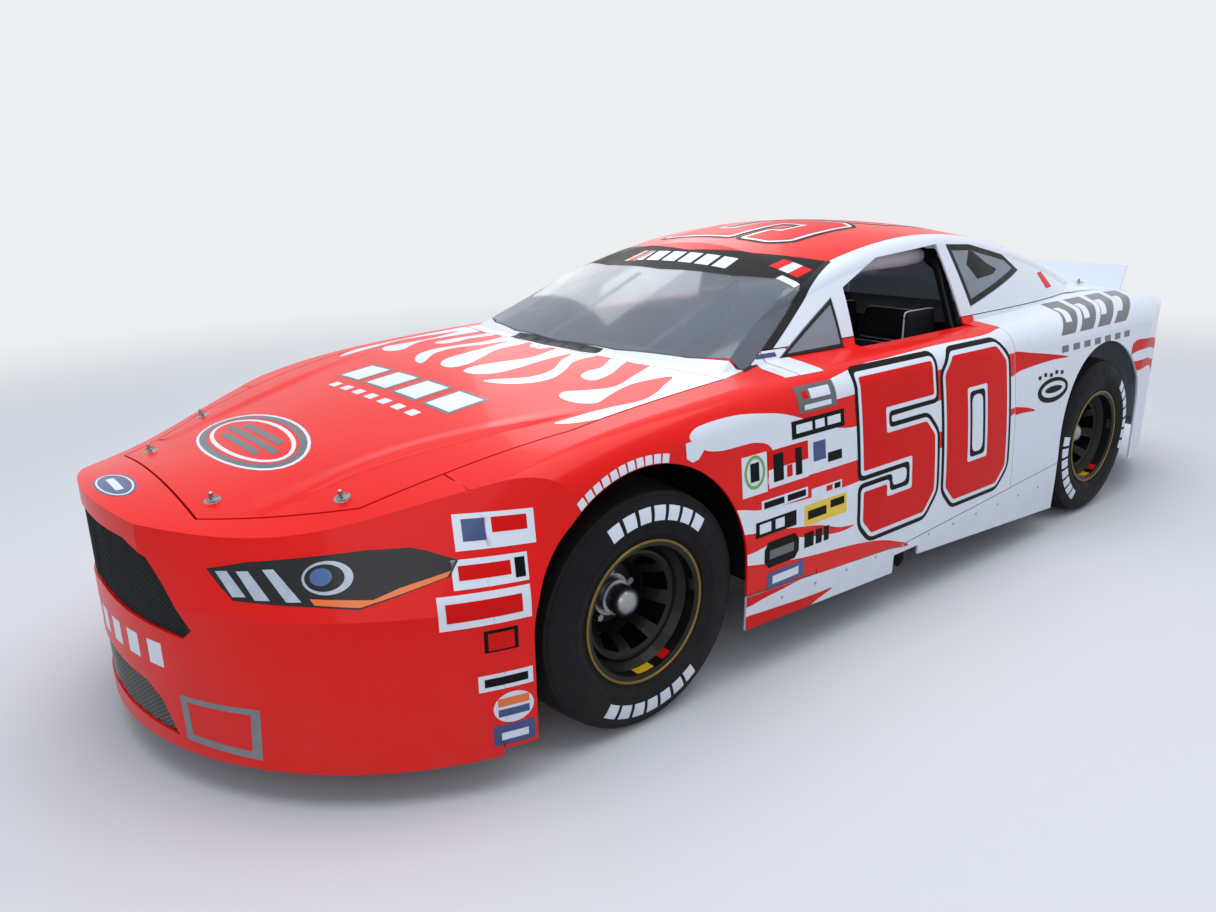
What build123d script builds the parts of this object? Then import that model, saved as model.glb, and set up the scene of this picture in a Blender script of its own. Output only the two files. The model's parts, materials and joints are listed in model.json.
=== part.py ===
from build123d import *
import math
import os

# Stock car, 1:1, millimetres. +Y runs to the tail, +X to the car's left side, +Z up.
# The origin is on the floor, mid-length, on the centreline.

# Driving dimensions
half_length = 2470
half_width = 950
wheelbase = 2667
axle_y = wheelbase / 2
skin = 8
seam = 4
far = 3000

# Tyres and wheels
tyre_radius = 349
tyre_width = 290
tyre_outer_x = 935
bead_radius = 192
rim_half_width = 133
rim_radius = 203
disc_x = 752
bore_play = 0.05
spindle_radius = 20
hub_radius = 62
hub_flange_radius = 85
brake_disc_radius = 138
brake_disc_x = (696, 718)
brake_gap = 5.5

# Body skin
nose_radius = 950
crease_z = 505
flank_lean = 0.45
screen_slope = 23.3
screen_base_y = -950
screen_base_z = 935
screen_bow_radius = 1430
arch_radius = 372
arch_centre_z = 392
rear_arch_radius = 384
nose_bottom_z = 100
belt_z = 926
nose_seam_y = -1795
fender_seam_y = -640
door_seam_y = 560
bumper_seam_y = 1935

# Roll cage and frame
cage_tube = 44.5
door_tube = 38
floor_z = 230
hoop_y = 600

# Body sections along Y: station, widest side x and its top z, shoulder x and z, crown z
lower_rows = [
    (-2600, 930, 372, 836, 452, 660),
    (-2300, 930, 500, 836, 585, 728),
    (-1950, 930, 628, 838, 716, 790),
    (-1550, 928, 745, 840, 828, 862),
    (-1200, 925, 785, 838, 870, 905),
    (-700, 915, 808, 832, 896, 952),
    (400, 908, 822, 826, 912, 972),
    (1400, 922, 822, 822, 926, 978),
    (2000, 920, 800, 812, 912, 962),
    (2600, 908, 750, 800, 860, 905),
]
# Greenhouse sections: station, base x, roof rail x and z, crown z
roof_rows = [
    (-1000, 790, 592, 1050, 1150),
    (-200, 785, 590, 1166, 1248),
    (300, 780, 585, 1246, 1302),
    (900, 775, 572, 1204, 1262),
    (1400, 765, 535, 1095, 1172),
    (2000, 745, 470, 920, 985),
]


def mirrored(points):
    return [(-x, y) for x, y in points]


def section(half, crown, station):
    """One body section: foot, side, shoulder and crown arcs, closed across the foot."""
    other = mirrored(half)
    with BuildSketch(Plane.XZ.offset(-station)) as face:
        with BuildLine():
            ThreePointArc(half[0], half[1], half[2])
            ThreePointArc(half[2], half[3], half[4])
            ThreePointArc(half[4], (0, crown), other[4])
            ThreePointArc(other[4], other[3], other[2])
            ThreePointArc(other[2], other[1], other[0])
            Line(other[0], half[0])
        make_face()
    return face.sketch


def lower_form(inset):
    """The wide body below the windows, full length, as one solid."""
    sections = []
    for station, side_x, side_z, top_x, top_z, crown_z in lower_rows:
        foot = (half_width - 12 - inset, -2 * inset)
        widest = (half_width - 2 - inset, 430)
        side = (side_x - inset, side_z)
        cut = 0.7 * inset
        shoulder = ((side_x + top_x) / 2 + 14 - cut, (side_z + top_z) / 2 + 15 - cut)
        top = (top_x - 0.3 * inset, top_z - inset)
        sections.append(section([foot, widest, side, shoulder, top], crown_z - inset, station))
    with BuildPart() as form:
        loft(sections)
    return form.part


def screen_outline(level, inset):
    """Plan of the greenhouse behind the windscreen surface at one height."""
    slope = math.radians(screen_slope)
    front_y = screen_base_y + (level - screen_base_z) / math.tan(slope) + inset / math.sin(slope)
    edge_y = front_y + screen_bow_radius - math.sqrt(screen_bow_radius**2 - half_width**2)
    with BuildSketch(Plane.XY.offset(level)) as outline:
        with BuildLine():
            ThreePointArc((-half_width, edge_y), (0, front_y), (half_width, edge_y))
            Polyline((half_width, edge_y), (half_width, far), (-half_width, far), (-half_width, edge_y))
        make_face()
    return outline.sketch


def greenhouse_form(inset):
    """The cabin's upper half, from inside the lower body to the roof."""
    sections = []
    for station, base_x, rail_x, rail_z, crown_z in roof_rows:
        foot = (base_x - inset, 780)
        side = (rail_x + 28 - inset, rail_z - 42)
        bulge = ((foot[0] + side[0]) / 2 + 10, (foot[1] + side[1]) / 2 + 5)
        corner = (rail_x + 8 - 0.7 * inset, rail_z - 10 - 0.7 * inset)
        rail = (rail_x - 28, rail_z + 8 - inset)
        sections.append(section([foot, bulge, side, corner, rail], crown_z - inset, station))
    with BuildPart() as form:
        loft(sections)
        loft([screen_outline(600, inset), screen_outline(1500, inset)], ruled=True, mode=Mode.INTERSECT)
    return form.part


def nose_outline(level, radius):
    """Plan of the front: round at the tip, with flanks that lean back above the crease."""
    centre_y = nose_radius - half_length
    lean = max(0, level - crease_z) * flank_lean
    tip = (300, centre_y - math.sqrt(radius**2 - 300**2))
    flank = ((radius - lean) * math.sin(math.pi / 4), centre_y - (radius - lean) * math.cos(math.pi / 4))
    with BuildSketch(Plane.XY.offset(level)) as outline:
        with BuildLine():
            ThreePointArc((-tip[0], tip[1]), (0, centre_y - radius), tip)
            ThreePointArc(tip, flank, (radius, centre_y))
            Polyline((radius, centre_y), (radius, far), (-radius, far), (-radius, centre_y))
            ThreePointArc((-radius, centre_y), (-flank[0], flank[1]), (-tip[0], tip[1]))
        make_face()
    return outline.sketch


def tail_outline(inset):
    """Plan of the tail: sides that draw in behind the rear wheels, rounded corners, bowed end."""
    side = (half_width - inset, 1600)
    taper = (892 - inset, 1930)
    corner = (790 - inset, 2215)
    bend = (748 - inset, 2300)
    end = (652 - inset, 2368 - inset)
    left = [side, taper, corner, bend, end]
    right = mirrored(left)
    with BuildSketch(Plane.XY.offset(-50)) as outline:
        with BuildLine():
            Polyline(right[0], (right[0][0], -far), (left[0][0], -far), left[0])
            ThreePointArc(left[0], left[1], left[2])
            ThreePointArc(left[2], left[3], left[4])
            ThreePointArc(left[4], (0, half_length - inset), right[4])
            ThreePointArc(right[4], right[3], right[2])
            ThreePointArc(right[2], right[1], right[0])
        make_face()
    return outline.sketch


def tail_profile(inset):
    """Side view of the tail: full at bumper height, tucked in above and below."""
    with BuildSketch(Plane.YZ.offset(-half_width - 50)) as profile:
        with BuildLine():
            ThreePointArc(
                (half_length - 150 - inset, 905),
                (half_length - inset, 700),
                (half_length - 150 - inset, 200),
            )
            Polyline(
                (half_length - 150 - inset, 200),
                (half_length - 230 - inset, -50),
                (-far, -50),
                (-far, 1500),
                (half_length - 400 - inset, 1500),
                (half_length - 150 - inset, 905),
            )
        make_face()
    return profile.sketch


def body_form(inset):
    """Lower body and greenhouse joined, trimmed to the plan of nose and tail."""
    with BuildPart() as nose:
        extrude(nose_outline(-50, nose_radius - inset), amount=crease_z + 50)
        leaning = [nose_outline(level, nose_radius - inset) for level in (crease_z, 1400)]
        loft(leaning, ruled=True)
    with BuildPart() as form:
        add(lower_form(inset))
        add(greenhouse_form(inset))
        add(nose.part, mode=Mode.INTERSECT)
        extrude(tail_outline(inset), amount=1500, mode=Mode.INTERSECT)
        extrude(tail_profile(inset), amount=2 * half_width + 100, mode=Mode.INTERSECT)
    return form.part


def arch_tool(radius, centre_y, width):
    """Round-topped wheel opening with straight sides, right across the car."""
    with BuildPart() as tool:
        with BuildSketch(Plane.YZ.offset(-width / 2)):
            with Locations((centre_y, arch_centre_z)):
                Circle(radius)
            with Locations((centre_y, arch_centre_z / 2 - 100)):
                Rectangle(2 * radius, arch_centre_z + 200)
        extrude(amount=width)
    return tool.part


def plan_prism(points, grow=0, low=-100, high=1500):
    """Upright prism over a plan outline given as its left half, mirrored to the right."""
    right = [point for point in reversed(mirrored(points)) if point[0] != 0]
    with BuildPart() as prism:
        with BuildSketch(Plane.XY.offset(low)):
            with BuildLine():
                Polyline(*points, *right, close=True)
            make_face()
            if grow:
                offset(amount=grow, kind=Kind.INTERSECTION)
        extrude(amount=high - low)
    return prism.part


def side_prism(points, x_from, x_to, grow=0):
    """Prism along X over a side-view outline of (y, z) points."""
    with BuildPart() as prism:
        with BuildSketch(Plane.YZ.offset(x_from)):
            with BuildLine():
                Polyline(*points, close=True)
            make_face()
            if grow:
                offset(amount=grow, kind=Kind.INTERSECTION)
        extrude(amount=x_to - x_from)
    return prism.part


def box_between(low, high):
    with BuildPart() as box:
        with Locations(tuple((a + b) / 2 for a, b in zip(low, high))):
            Box(*[b - a for a, b in zip(low, high)])
    return box.part


def save(part, name):
    part.label = name
    export_step(part, f"parts/{name}.step")


os.makedirs("parts", exist_ok=True)

# Body shell: the outer form less the same form set in by the skin thickness
with BuildPart() as shell:
    add(body_form(0))
    add(body_form(skin), mode=Mode.SUBTRACT)
    add(arch_tool(arch_radius, -axle_y, 2100), mode=Mode.SUBTRACT)
    add(arch_tool(rear_arch_radius, axle_y, 2100), mode=Mode.SUBTRACT)

# Plan outlines of the panels in the top of the body, left half from front to rear
hood_outline = [(365, -2292), (640, -1995), (690, -1790), (762, -1450), (748, -870), (450, -960), (0, -1010)]
cowl_outline = [(0, -1004), (450, -954), (748, -864), (726, -758), (560, -838), (300, -915), (0, -946)]
screen_outline_plan = [(0, -940), (300, -909), (560, -832), (716, -748), (540, -150), (300, -262), (0, -300)]
roof_outline = [(0, -296), (300, -258), (548, -146), (548, 1080), (0, 1140)]
rear_glass_outline = [(0, 1146), (520, 1086), (455, 1612), (0, 1642)]
deck_outline = [(0, 1650), (640, 1620), (708, 1980), (0, 2050)]
# Side-view outlines (y, z) of the side windows, the skirt and the body's lower edge
vent_outline = [(-575, 918), (-258, 918), (-232, 1080)]
window_outline = [(-200, 912), (482, 916), (452, 1222), (60, 1194), (-160, 1106)]
quarter_outline = [(518, 1218), (562, 978), (1085, 1080), (985, 1150), (700, 1208)]
skirt_outline = [
    (-961, 176),
    (-212, 146),
    (-212, 212),
    (-63, 212),
    (-63, 177),
    (949, 108),
    (949, 308),
    (-163, 238),
    (-961, 285),
]
above_skirt = [(-1100, 291), (-163, 242), (1100, 321), (1100, 1500), (-1100, 1500)]
# Front-view outlines (x, z) of the nose openings, left half
upper_grille_outline = [(0, 668), (240, 655), (320, 620), (440, 452), (410, 425), (200, 445), (0, 474)]
lower_grille_outline = [(0, 286), (240, 264), (300, 225), (345, 138), (0, 156)]


def front_prism(points, low_y, high_y, grow=0):
    """Prism along Y over a front-view outline given as its left half."""
    right = [point for point in reversed(mirrored(points)) if point[0] != 0]
    with BuildPart() as prism:
        with BuildSketch(Plane.XZ.offset(-low_y)):
            with BuildLine():
                Polyline(*points, *right, close=True)
            make_face()
            if grow:
                offset(amount=grow, kind=Kind.INTERSECTION)
        extrude(amount=low_y - high_y)
    return prism.part


def panel(keep, remove):
    """A piece of the body skin inside every keep tool and outside every remove tool."""
    with BuildPart() as piece:
        add(shell.part)
        for tool in keep:
            add(tool, mode=Mode.INTERSECT)
        for tool in remove:
            add(tool, mode=Mode.SUBTRACT)
    return piece.part


def opposite(part):
    return mirror(part, about=Plane.YZ)


def both_sides(part):
    with BuildPart() as pair:
        add(part)
        add(opposite(part))
    return pair.part


def tube(points, bend, diameter=cage_tube):
    """Round bar along straight runs joined by tangent arcs."""
    with BuildPart() as bar:
        with BuildLine() as route:
            if len(points) > 2:
                FilletPolyline(*points, radius=bend)
            else:
                Line(*points)
        with BuildSketch(Plane(origin=route.line @ 0, z_dir=route.line % 0)):
            Circle(diameter / 2)
        sweep()
    return bar.part


def beam(start, end, width, height):
    """Box section bar between two points, its width level."""
    axis = Vector(*end) - Vector(*start)
    level = axis.cross(Vector(0, 0, 1))
    with BuildPart() as bar:
        with BuildSketch(Plane(origin=start, x_dir=level, z_dir=axis)):
            Rectangle(width, height)
        extrude(amount=axis.length)
    return bar.part


left_half = box_between((0, -far, -200), (1200, far, 1600))
hood_tool = plan_prism(hood_outline, low=550)
hood_gap = plan_prism(hood_outline, grow=6, low=550)
cowl_tool = plan_prism(cowl_outline, low=700)
cowl_gap = plan_prism(cowl_outline, grow=seam, low=700)
screen_tool = plan_prism(screen_outline_plan, low=850)
screen_gap = plan_prism(screen_outline_plan, grow=3, low=850)
roof_tool = plan_prism(roof_outline, low=1000)
roof_gap = plan_prism(roof_outline, grow=seam, low=1000)
rear_glass_tool = plan_prism(rear_glass_outline, low=1000)
rear_glass_gap = plan_prism(rear_glass_outline, grow=3, low=1000)
deck_tool = plan_prism(deck_outline, low=850)
deck_gap = plan_prism(deck_outline, grow=6, low=850)
window_outlines = (vent_outline, window_outline, quarter_outline)
window_holes = [side_prism(outline, 300, 1000) for outline in window_outlines]

# Nose cover: the front of the shell, with both grille openings
grille_outlines = (upper_grille_outline, lower_grille_outline)
nose_cover = panel(
    [box_between((-1200, -far, nose_bottom_z), (1200, nose_seam_y, 1000))],
    [hood_gap] + [front_prism(outline, -far, -2200) for outline in grille_outlines],
)
save(nose_cover, "nose_cover")

# Grille plates behind the openings
with BuildPart() as front_grilles:
    for outline in grille_outlines:
        with BuildSketch(Plane.XY.offset(100)):
            with Locations((0, nose_radius - half_length)):
                Circle(nose_radius - skin)
                Circle(nose_radius - skin - 6, mode=Mode.SUBTRACT)
        band = extrude(amount=600, mode=Mode.PRIVATE)
        add(band & front_prism(outline, -far, -1800, grow=12))
    add(shell.part, mode=Mode.SUBTRACT)
save(front_grilles.part, "front_grilles")

# Hood, cowl, windscreen, roof, rear window and deck lid
save(panel([hood_tool], []), "hood")
save(panel([cowl_tool], []), "cowl_panel")
save(panel([screen_tool], []), "windscreen")
save(panel([roof_tool], []), "roof_panel")
save(panel([rear_glass_tool], []), "rear_window")
deck_lid = panel([deck_tool], [])
save(deck_lid, "deck_lid")

# Front fender: over the front wheel, from the nose to the door
below_fender = side_prism([(-1000, 0), (-500, 0), (-500, 263), (-1000, 294)], 700, 1100)
fender = panel(
    [left_half, box_between((0, nose_seam_y + seam, 120), (1200, fender_seam_y, belt_z + 19))],
    [hood_gap, cowl_gap, screen_gap, below_fender],
)
# Door, with the lower edge of the open side window
door = panel(
    [
        left_half,
        box_between((0, fender_seam_y + seam, 120), (1200, door_seam_y, belt_z + 19)),
        side_prism(above_skirt, 500, 1100),
    ],
    window_holes + [screen_gap],
)
# Quarter panel: over the rear wheel, back to the bumper
quarter = panel(
    [left_half, box_between((0, door_seam_y + seam, 120), (1200, bumper_seam_y, belt_z + 19))],
    window_holes
    + [deck_gap, side_prism([(400, 0), (1000, 0), (1000, 315), (400, 277)], 700, 1100)]
    + [box_between((0, 1700, 0), (1200, far, 165))],
)
# Window surround: pillars and roof rails
side_frame = panel(
    [left_half, box_between((0, -far, belt_z + 19 + seam), (1200, bumper_seam_y, 1500))],
    window_holes + [hood_gap, cowl_gap, screen_gap, roof_gap, rear_glass_gap, deck_gap],
)
side_panels = {"fender": fender, "door": door, "quarter_panel": quarter, "side_frame": side_frame}
for name, piece in side_panels.items():
    save(piece, f"left_{name}")
    save(opposite(piece), f"right_{name}")

# Vent and quarter glass, both sides
glass_tools = [side_prism(outline, 300, 1000, grow=-3) for outline in (vent_outline, quarter_outline)]
with BuildPart() as side_glass:
    for tool in glass_tools:
        add(panel([tool], []))
        add(opposite(panel([tool], [])))
save(side_glass.part, "side_glass")

# Rocker skirts between the wheels, notched for the exhaust outlets
save(both_sides(panel([side_prism(skirt_outline, 800, 1100)], [])), "rocker_skirts")

# Rear bumper cover
rear_bumper = panel([box_between((-1200, bumper_seam_y + seam, 190), (1200, far, 1000))], [deck_gap])
save(rear_bumper, "rear_bumper")

# Spoiler: a bowed blade leaning back on the deck lid's rear edge
with BuildPart() as rear_spoiler:
    for level, shift in ((880, 0), (1045, 70)):
        with BuildSketch(Plane.XY.offset(level)):
            with BuildLine():
                ThreePointArc((-700, 1925 + shift), (0, 1990 + shift), (700, 1925 + shift))
                Line((700, 1925 + shift), (700, 1933 + shift))
                ThreePointArc((700, 1933 + shift), (0, 1998 + shift), (-700, 1933 + shift))
                Line((-700, 1933 + shift), (-700, 1925 + shift))
            make_face()
    loft(ruled=True)
    add(body_form(0), mode=Mode.SUBTRACT)
save(rear_spoiler.part, "rear_spoiler")

# Frame rails: cabin rails at the sides, narrower at the engine and over the rear axle
rail_route = [
    (400, -2120, 285),
    (400, -1010, 285),
    (665, -840, 180),
    (665, 860, 180),
    (500, 1040, 465),
    (500, 2200, 465),
]
exhaust_route = [(330, -1020, 330), (330, -890, 180), (330, -430, 175), (480, -140, 175), (925, -140, 175)]
with BuildPart() as rail:
    for start, end in zip(rail_route, rail_route[1:]):
        add(beam(start, end, 50, 90))
    add(tube([(500, -140, 175), (900, -140, 175)], 0, 84), mode=Mode.SUBTRACT)
frame_rails = both_sides(rail.part)
save(frame_rails, "frame_rails")

# Cross members: front suspension, cabin front, cabin rear, tail
with BuildPart() as cross_members:
    for low, high in (
        ((-374, -1400, 240), (374, -1266, 280)),
        ((-639, -60, 135), (639, -20, 195)),
        ((-639, 780, 135), (639, 830, 195)),
        ((-474, 2150, 425), (474, 2195, 500)),
    ):
        add(box_between(low, high))
save(cross_members.part, "cross_members")

# Rear braces, from the hoop through the parcel shelf to the frame rails
with BuildPart() as rear_brace:
    add(tube([(470, hoop_y, 1165), (470, 1500, 700), (500, 1900, 500)], 150))
    add(box_between((300, hoop_y - 40, 1000), (700, hoop_y + 25, 1300)), mode=Mode.SUBTRACT)
    add(frame_rails, mode=Mode.SUBTRACT)
rear_braces = both_sides(rear_brace.part)
below_floor = box_between((-900, -900, 100), (900, 900, 234))

# Floor with tunnel, firewall, rear bulkhead and parcel shelf as one sheet-metal tub
tunnel = [(150, floor_z), (115, 425)]
bulkhead = [(-900, floor_z), (-900, 740), (-790, 850), (790, 850), (900, 740), (900, floor_z)]
sheet = 4
tunnel_top = [(153, floor_z + sheet), (118, 425 + sheet)]
with BuildPart() as floor_tub:
    with BuildSketch(Plane.XZ.offset(780)):
        with BuildLine():
            Polyline((900, floor_z), *tunnel, *reversed(mirrored(tunnel)), (-900, floor_z))
            Polyline((-900, floor_z), (-900, floor_z + sheet), *mirrored(tunnel_top))
            Polyline(mirrored(tunnel_top)[1], *reversed(tunnel_top), (900, floor_z + sheet), (900, floor_z))
        make_face()
    extrude(amount=-1680)
    for front in (-784, 896):
        with BuildSketch(Plane.XZ.offset(-front)):
            with BuildLine():
                Polyline(*bulkhead, close=True)
            make_face()
            with BuildLine():
                Polyline(*mirrored(tunnel), *reversed(tunnel), close=True)
            make_face(mode=Mode.SUBTRACT)
        extrude(amount=-sheet)
    add(box_between((-700, 896, 850 - sheet), (700, 1600, 850)))
    add(frame_rails, mode=Mode.SUBTRACT)
    add(rear_braces, mode=Mode.SUBTRACT)
save(floor_tub.part, "floor_tub")

# Roll cage: hoop, roof bars with front legs, cross bars, door bars, rear braces
with BuildPart() as main_hoop:
    add(
        tube(
            [(701, hoop_y, 220), (650, hoop_y, 800), (515, hoop_y, 1180), (-515, hoop_y, 1180)]
            + [(-650, hoop_y, 800), (-701, hoop_y, 220)],
            140,
        )
    )
    add(below_floor, mode=Mode.SUBTRACT)
save(main_hoop.part, "main_hoop")
leg_route = [(690, -702, 220), (682, -690, 560), (610, -420, 970), (500, -110, 1160), (500, hoop_y, 1172)]
with BuildPart() as roof_bar:
    add(tube(leg_route, 110))
    add(main_hoop.part, mode=Mode.SUBTRACT)
    add(below_floor, mode=Mode.SUBTRACT)
    add(box_between((300, hoop_y, 900), (700, hoop_y + 60, 1300)), mode=Mode.SUBTRACT)
roof_bars = both_sides(roof_bar.part)
save(roof_bars, "roof_bars")
with BuildPart() as cage_cross_bars:
    add(tube([(-680, -690, 600), (680, -690, 600)], 0))
    add(tube([(-500, -60, 1162), (500, -60, 1162)], 0))
    add(tube([(-648, hoop_y + 3, 770), (648, hoop_y + 3, 770)], 0, door_tube))
    add(main_hoop.part, mode=Mode.SUBTRACT)
    add(roof_bars, mode=Mode.SUBTRACT)
save(cage_cross_bars.part, "cage_cross_bars")
# Each door bar runs from the centre of the front leg to the centre of the hoop, trimmed by both
door_bar_x = 770
door_bar_ends = [(360, (686, -697), 689), (520, (683, -692), 675), (680, (661, -611), 661)]
with BuildPart() as door_bar:
    for height, leg, hoop_x in door_bar_ends:
        bends = [(door_bar_x, -500, height), (door_bar_x, 420, height)]
        add(tube([(*leg, height), *bends, (hoop_x, hoop_y, height)], 110, door_tube))
    add(tube([(door_bar_x, -60, 345), (door_bar_x, -60, 695)], 0, door_tube - 6))
    add(main_hoop.part, mode=Mode.SUBTRACT)
    add(roof_bars, mode=Mode.SUBTRACT)
save(both_sides(door_bar.part), "door_bars")
save(rear_braces, "rear_braces")

# Engine block with intake, gearbox and driveshaft
with BuildPart() as engine:
    add(box_between((-255, -1540, 290), (255, -850, 660)))
    chamfer(engine.edges().filter_by(Axis.Y), 60)
    add(box_between((-140, -1400, 660), (140, -1000, 770)))
save(engine.part, "engine")
with BuildPart() as gearbox:
    with BuildSketch(Plane.XZ.offset(850)):
        with Locations((0, 320)):
            Circle(92)
    with BuildSketch(Plane.XZ.offset(320)):
        with Locations((0, 320)):
            Circle(60)
    loft()
save(gearbox.part, "gearbox")
save(tube([(0, -317, 320), (0, 1195, 349)], 0, 76), "driveshaft")

# Rear axle: housing, differential, arm brackets and spindles
with BuildPart() as rear_axle:
    with Locations((0, axle_y, tyre_radius)):
        Cylinder(41, 1200, rotation=(0, 90, 0))
        Sphere(135)
        Cylinder(spindle_radius, 1580, rotation=(0, 90, 0))
    for side in (-450, 450):
        add(box_between((side - 20, axle_y - 40, 250), (side + 20, axle_y + 10, 330)))
    add(box_between((-100, 1190, 250), (100, 1210, 450)), mode=Mode.SUBTRACT)
save(rear_axle.part, "rear_axle")

# Fuel cell, radiator and exhaust pipes
save(box_between((-300, 1780, 270), (300, 2140, 500)), "fuel_cell")
save(box_between((-320, -2170, 215), (320, -2125, 600)), "radiator")
with BuildPart() as exhaust:
    add(tube(exhaust_route, 60, 70))
    add(tube(exhaust_route, 60, 64), mode=Mode.SUBTRACT)
save(both_sides(exhaust.part), "exhaust_pipes")

# Suspension arms: front lower and upper wishbones, rear trailing arms
with BuildPart() as arms:
    for pivot_x, pivot_z, ball_z in ((430, 215, 200), (430, 440, 500)):
        for pivot_y in (-1500, -1170):
            add(tube([(pivot_x, pivot_y, pivot_z), (640, -axle_y, ball_z)], 0, 32))
        with Locations((645, -axle_y, ball_z)):
            Cylinder(22, 24)
    add(tube([(450, 836, 165), (450, axle_y - 46, 288)], 0, 40))
save(both_sides(arms.part), "suspension_arms")


def spring_unit(foot, head, coil_radius):
    """Damper with a coil spring held between two seats, standing on its foot."""
    wire = 6.5
    seat = 18
    turns = 6
    low = 60
    axis = Vector(*head) - Vector(*foot)
    high = axis.length - 30
    with BuildPart() as unit:
        Cylinder(15, axis.length, align=(Align.CENTER, Align.CENTER, Align.MIN))
        for level in (low, high - seat):
            with Locations((0, 0, level)):
                Cylinder(coil_radius + 11, seat, align=(Align.CENTER, Align.CENTER, Align.MIN))
        with BuildLine():
            coil = Helix((high - low - seat) / turns, high - low - seat, coil_radius, (0, 0, low + seat / 2))
        with BuildSketch(Plane(origin=coil @ 0, z_dir=coil % 0)):
            Circle(wire)
        sweep(path=coil, is_frenet=True)
    return Plane(origin=foot, z_dir=axis).location * unit.part


with BuildPart() as spring:
    add(spring_unit((503, -1335, 232), (470, -1335, 640), 36))
    add(spring_unit((566, 1440, 300), (566, 1440, 640), 32))
    add(arms.part, mode=Mode.SUBTRACT)
save(both_sides(spring.part), "coil_springs")

# Driver's seat: pan, back and side bolsters of one moulded shell
seat_x = 375
seat_profile = [(-60, 262), (350, 240), (560, 900), (530, 912), (318, 292), (-60, 330)]
bolster_profile = [(-20, 262), (350, 240), (540, 840), (440, 850), (330, 560), (200, 420), (-20, 380)]
with BuildPart() as driver_seat:
    add(side_prism(seat_profile, seat_x - 188, seat_x + 188))
    add(side_prism(bolster_profile, seat_x - 212, seat_x - 188))
    add(side_prism(bolster_profile, seat_x + 188, seat_x + 212))
save(driver_seat.part, "driver_seat")

# Dashboard: top and instrument face
dash_profile = [(-776, 850), (-500, 850), (-500, 730), (-506, 730), (-506, 844), (-776, 844)]
save(side_prism(dash_profile, -575, 575), "dashboard")

# Steering column and wheel
column_foot = Vector(seat_x, -740, 600)
column_axis = Vector(0, 0.934, 0.357).normalized()
wheel_centre = column_foot + column_axis * 480
column_plane = Plane(origin=wheel_centre, x_dir=(1, 0, 0), z_dir=column_axis)
with BuildPart() as steering_column:
    with BuildSketch(column_plane.offset(-380)):
        Circle(22)
    extrude(amount=340)
    with BuildSketch(column_plane.offset(-40)):
        Circle(12)
    extrude(amount=40)
save(steering_column.part, "steering_column")
with BuildPart() as steering_wheel:
    with BuildSketch(column_plane.offset(-18)):
        Circle(34)
        Circle(12 + bore_play, mode=Mode.SUBTRACT)
    extrude(amount=18)
    with BuildSketch(column_plane):
        Circle(34)
        with PolarLocations(95, 3, start_angle=90):
            Rectangle(150, 30)
    extrude(amount=6)
    with BuildSketch(Plane(origin=wheel_centre, x_dir=(1, 0, 0), z_dir=column_axis.cross(Vector(1, 0, 0)))):
        with Locations((170, 3)):
            Circle(13)
    revolve(axis=Axis(wheel_centre, column_axis))
save(steering_wheel.part, "steering_wheel")


def road_wheel():
    """Steel wheel about the X axis, its centre at the tyre's middle: rim barrel and windowed disc."""
    wall = 5
    ledge = bead_radius - 0.5
    well = 170
    edge = rim_half_width
    half = [(62, well), (90, ledge), (125, ledge), (edge, rim_radius)]
    half_under = [(edge, rim_radius - wall), (128, ledge - wall), (92, ledge - wall), (64, well - wall)]
    outside = mirrored(reversed(half)) + half
    inside = half_under + mirrored(reversed(half_under))
    seat_x = disc_x - tyre_centre_x
    # The disc is flat on the hub, pressed outwards round its windows and turned in at the rim
    front = [(seat_x, hub_radius + 1), (seat_x, 86), (seat_x + 8, 96), (seat_x + 8, 148), (seat_x - 6, 160)]
    back = [(x + 6, radius) for x, radius in reversed(front)]
    with BuildPart() as disc:
        with BuildSketch(Plane.XY):
            with BuildLine():
                Polyline(*front, (seat_x - 6, 167), (seat_x, 167), *back, close=True)
            make_face()
        revolve(axis=Axis.X)
        with BuildSketch(Plane.YZ.offset(seat_x - 20)):
            Circle(143)
            Circle(98, mode=Mode.SUBTRACT)
            with PolarLocations(120, 8):
                Rectangle(90, 25, mode=Mode.SUBTRACT)
        extrude(amount=60, mode=Mode.SUBTRACT)
        with BuildSketch(Plane.YZ.offset(seat_x - 20)):
            with PolarLocations(73, 5, start_angle=90):
                Circle(6.5)
        extrude(amount=60, mode=Mode.SUBTRACT)
    with BuildPart() as wheel:
        with BuildSketch(Plane.XY):
            with BuildLine():
                Polyline(*outside, *inside, close=True)
            make_face()
        revolve(axis=Axis.X)
        add(disc.part)
    return wheel.part


def tyre():
    """Racing slick about the X axis."""
    with BuildPart() as ring:
        with BuildSketch(Plane.XY):
            with BuildLine():
                ThreePointArc((120, bead_radius), (tyre_width / 2, 268), (124, 337))
                ThreePointArc((124, 337), (0, tyre_radius), (-124, 337))
                ThreePointArc((-124, 337), (-tyre_width / 2, 268), (-120, bead_radius))
                Line((-120, bead_radius), (120, bead_radius))
            make_face()
        revolve(axis=Axis.X)
    return ring.part


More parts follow.
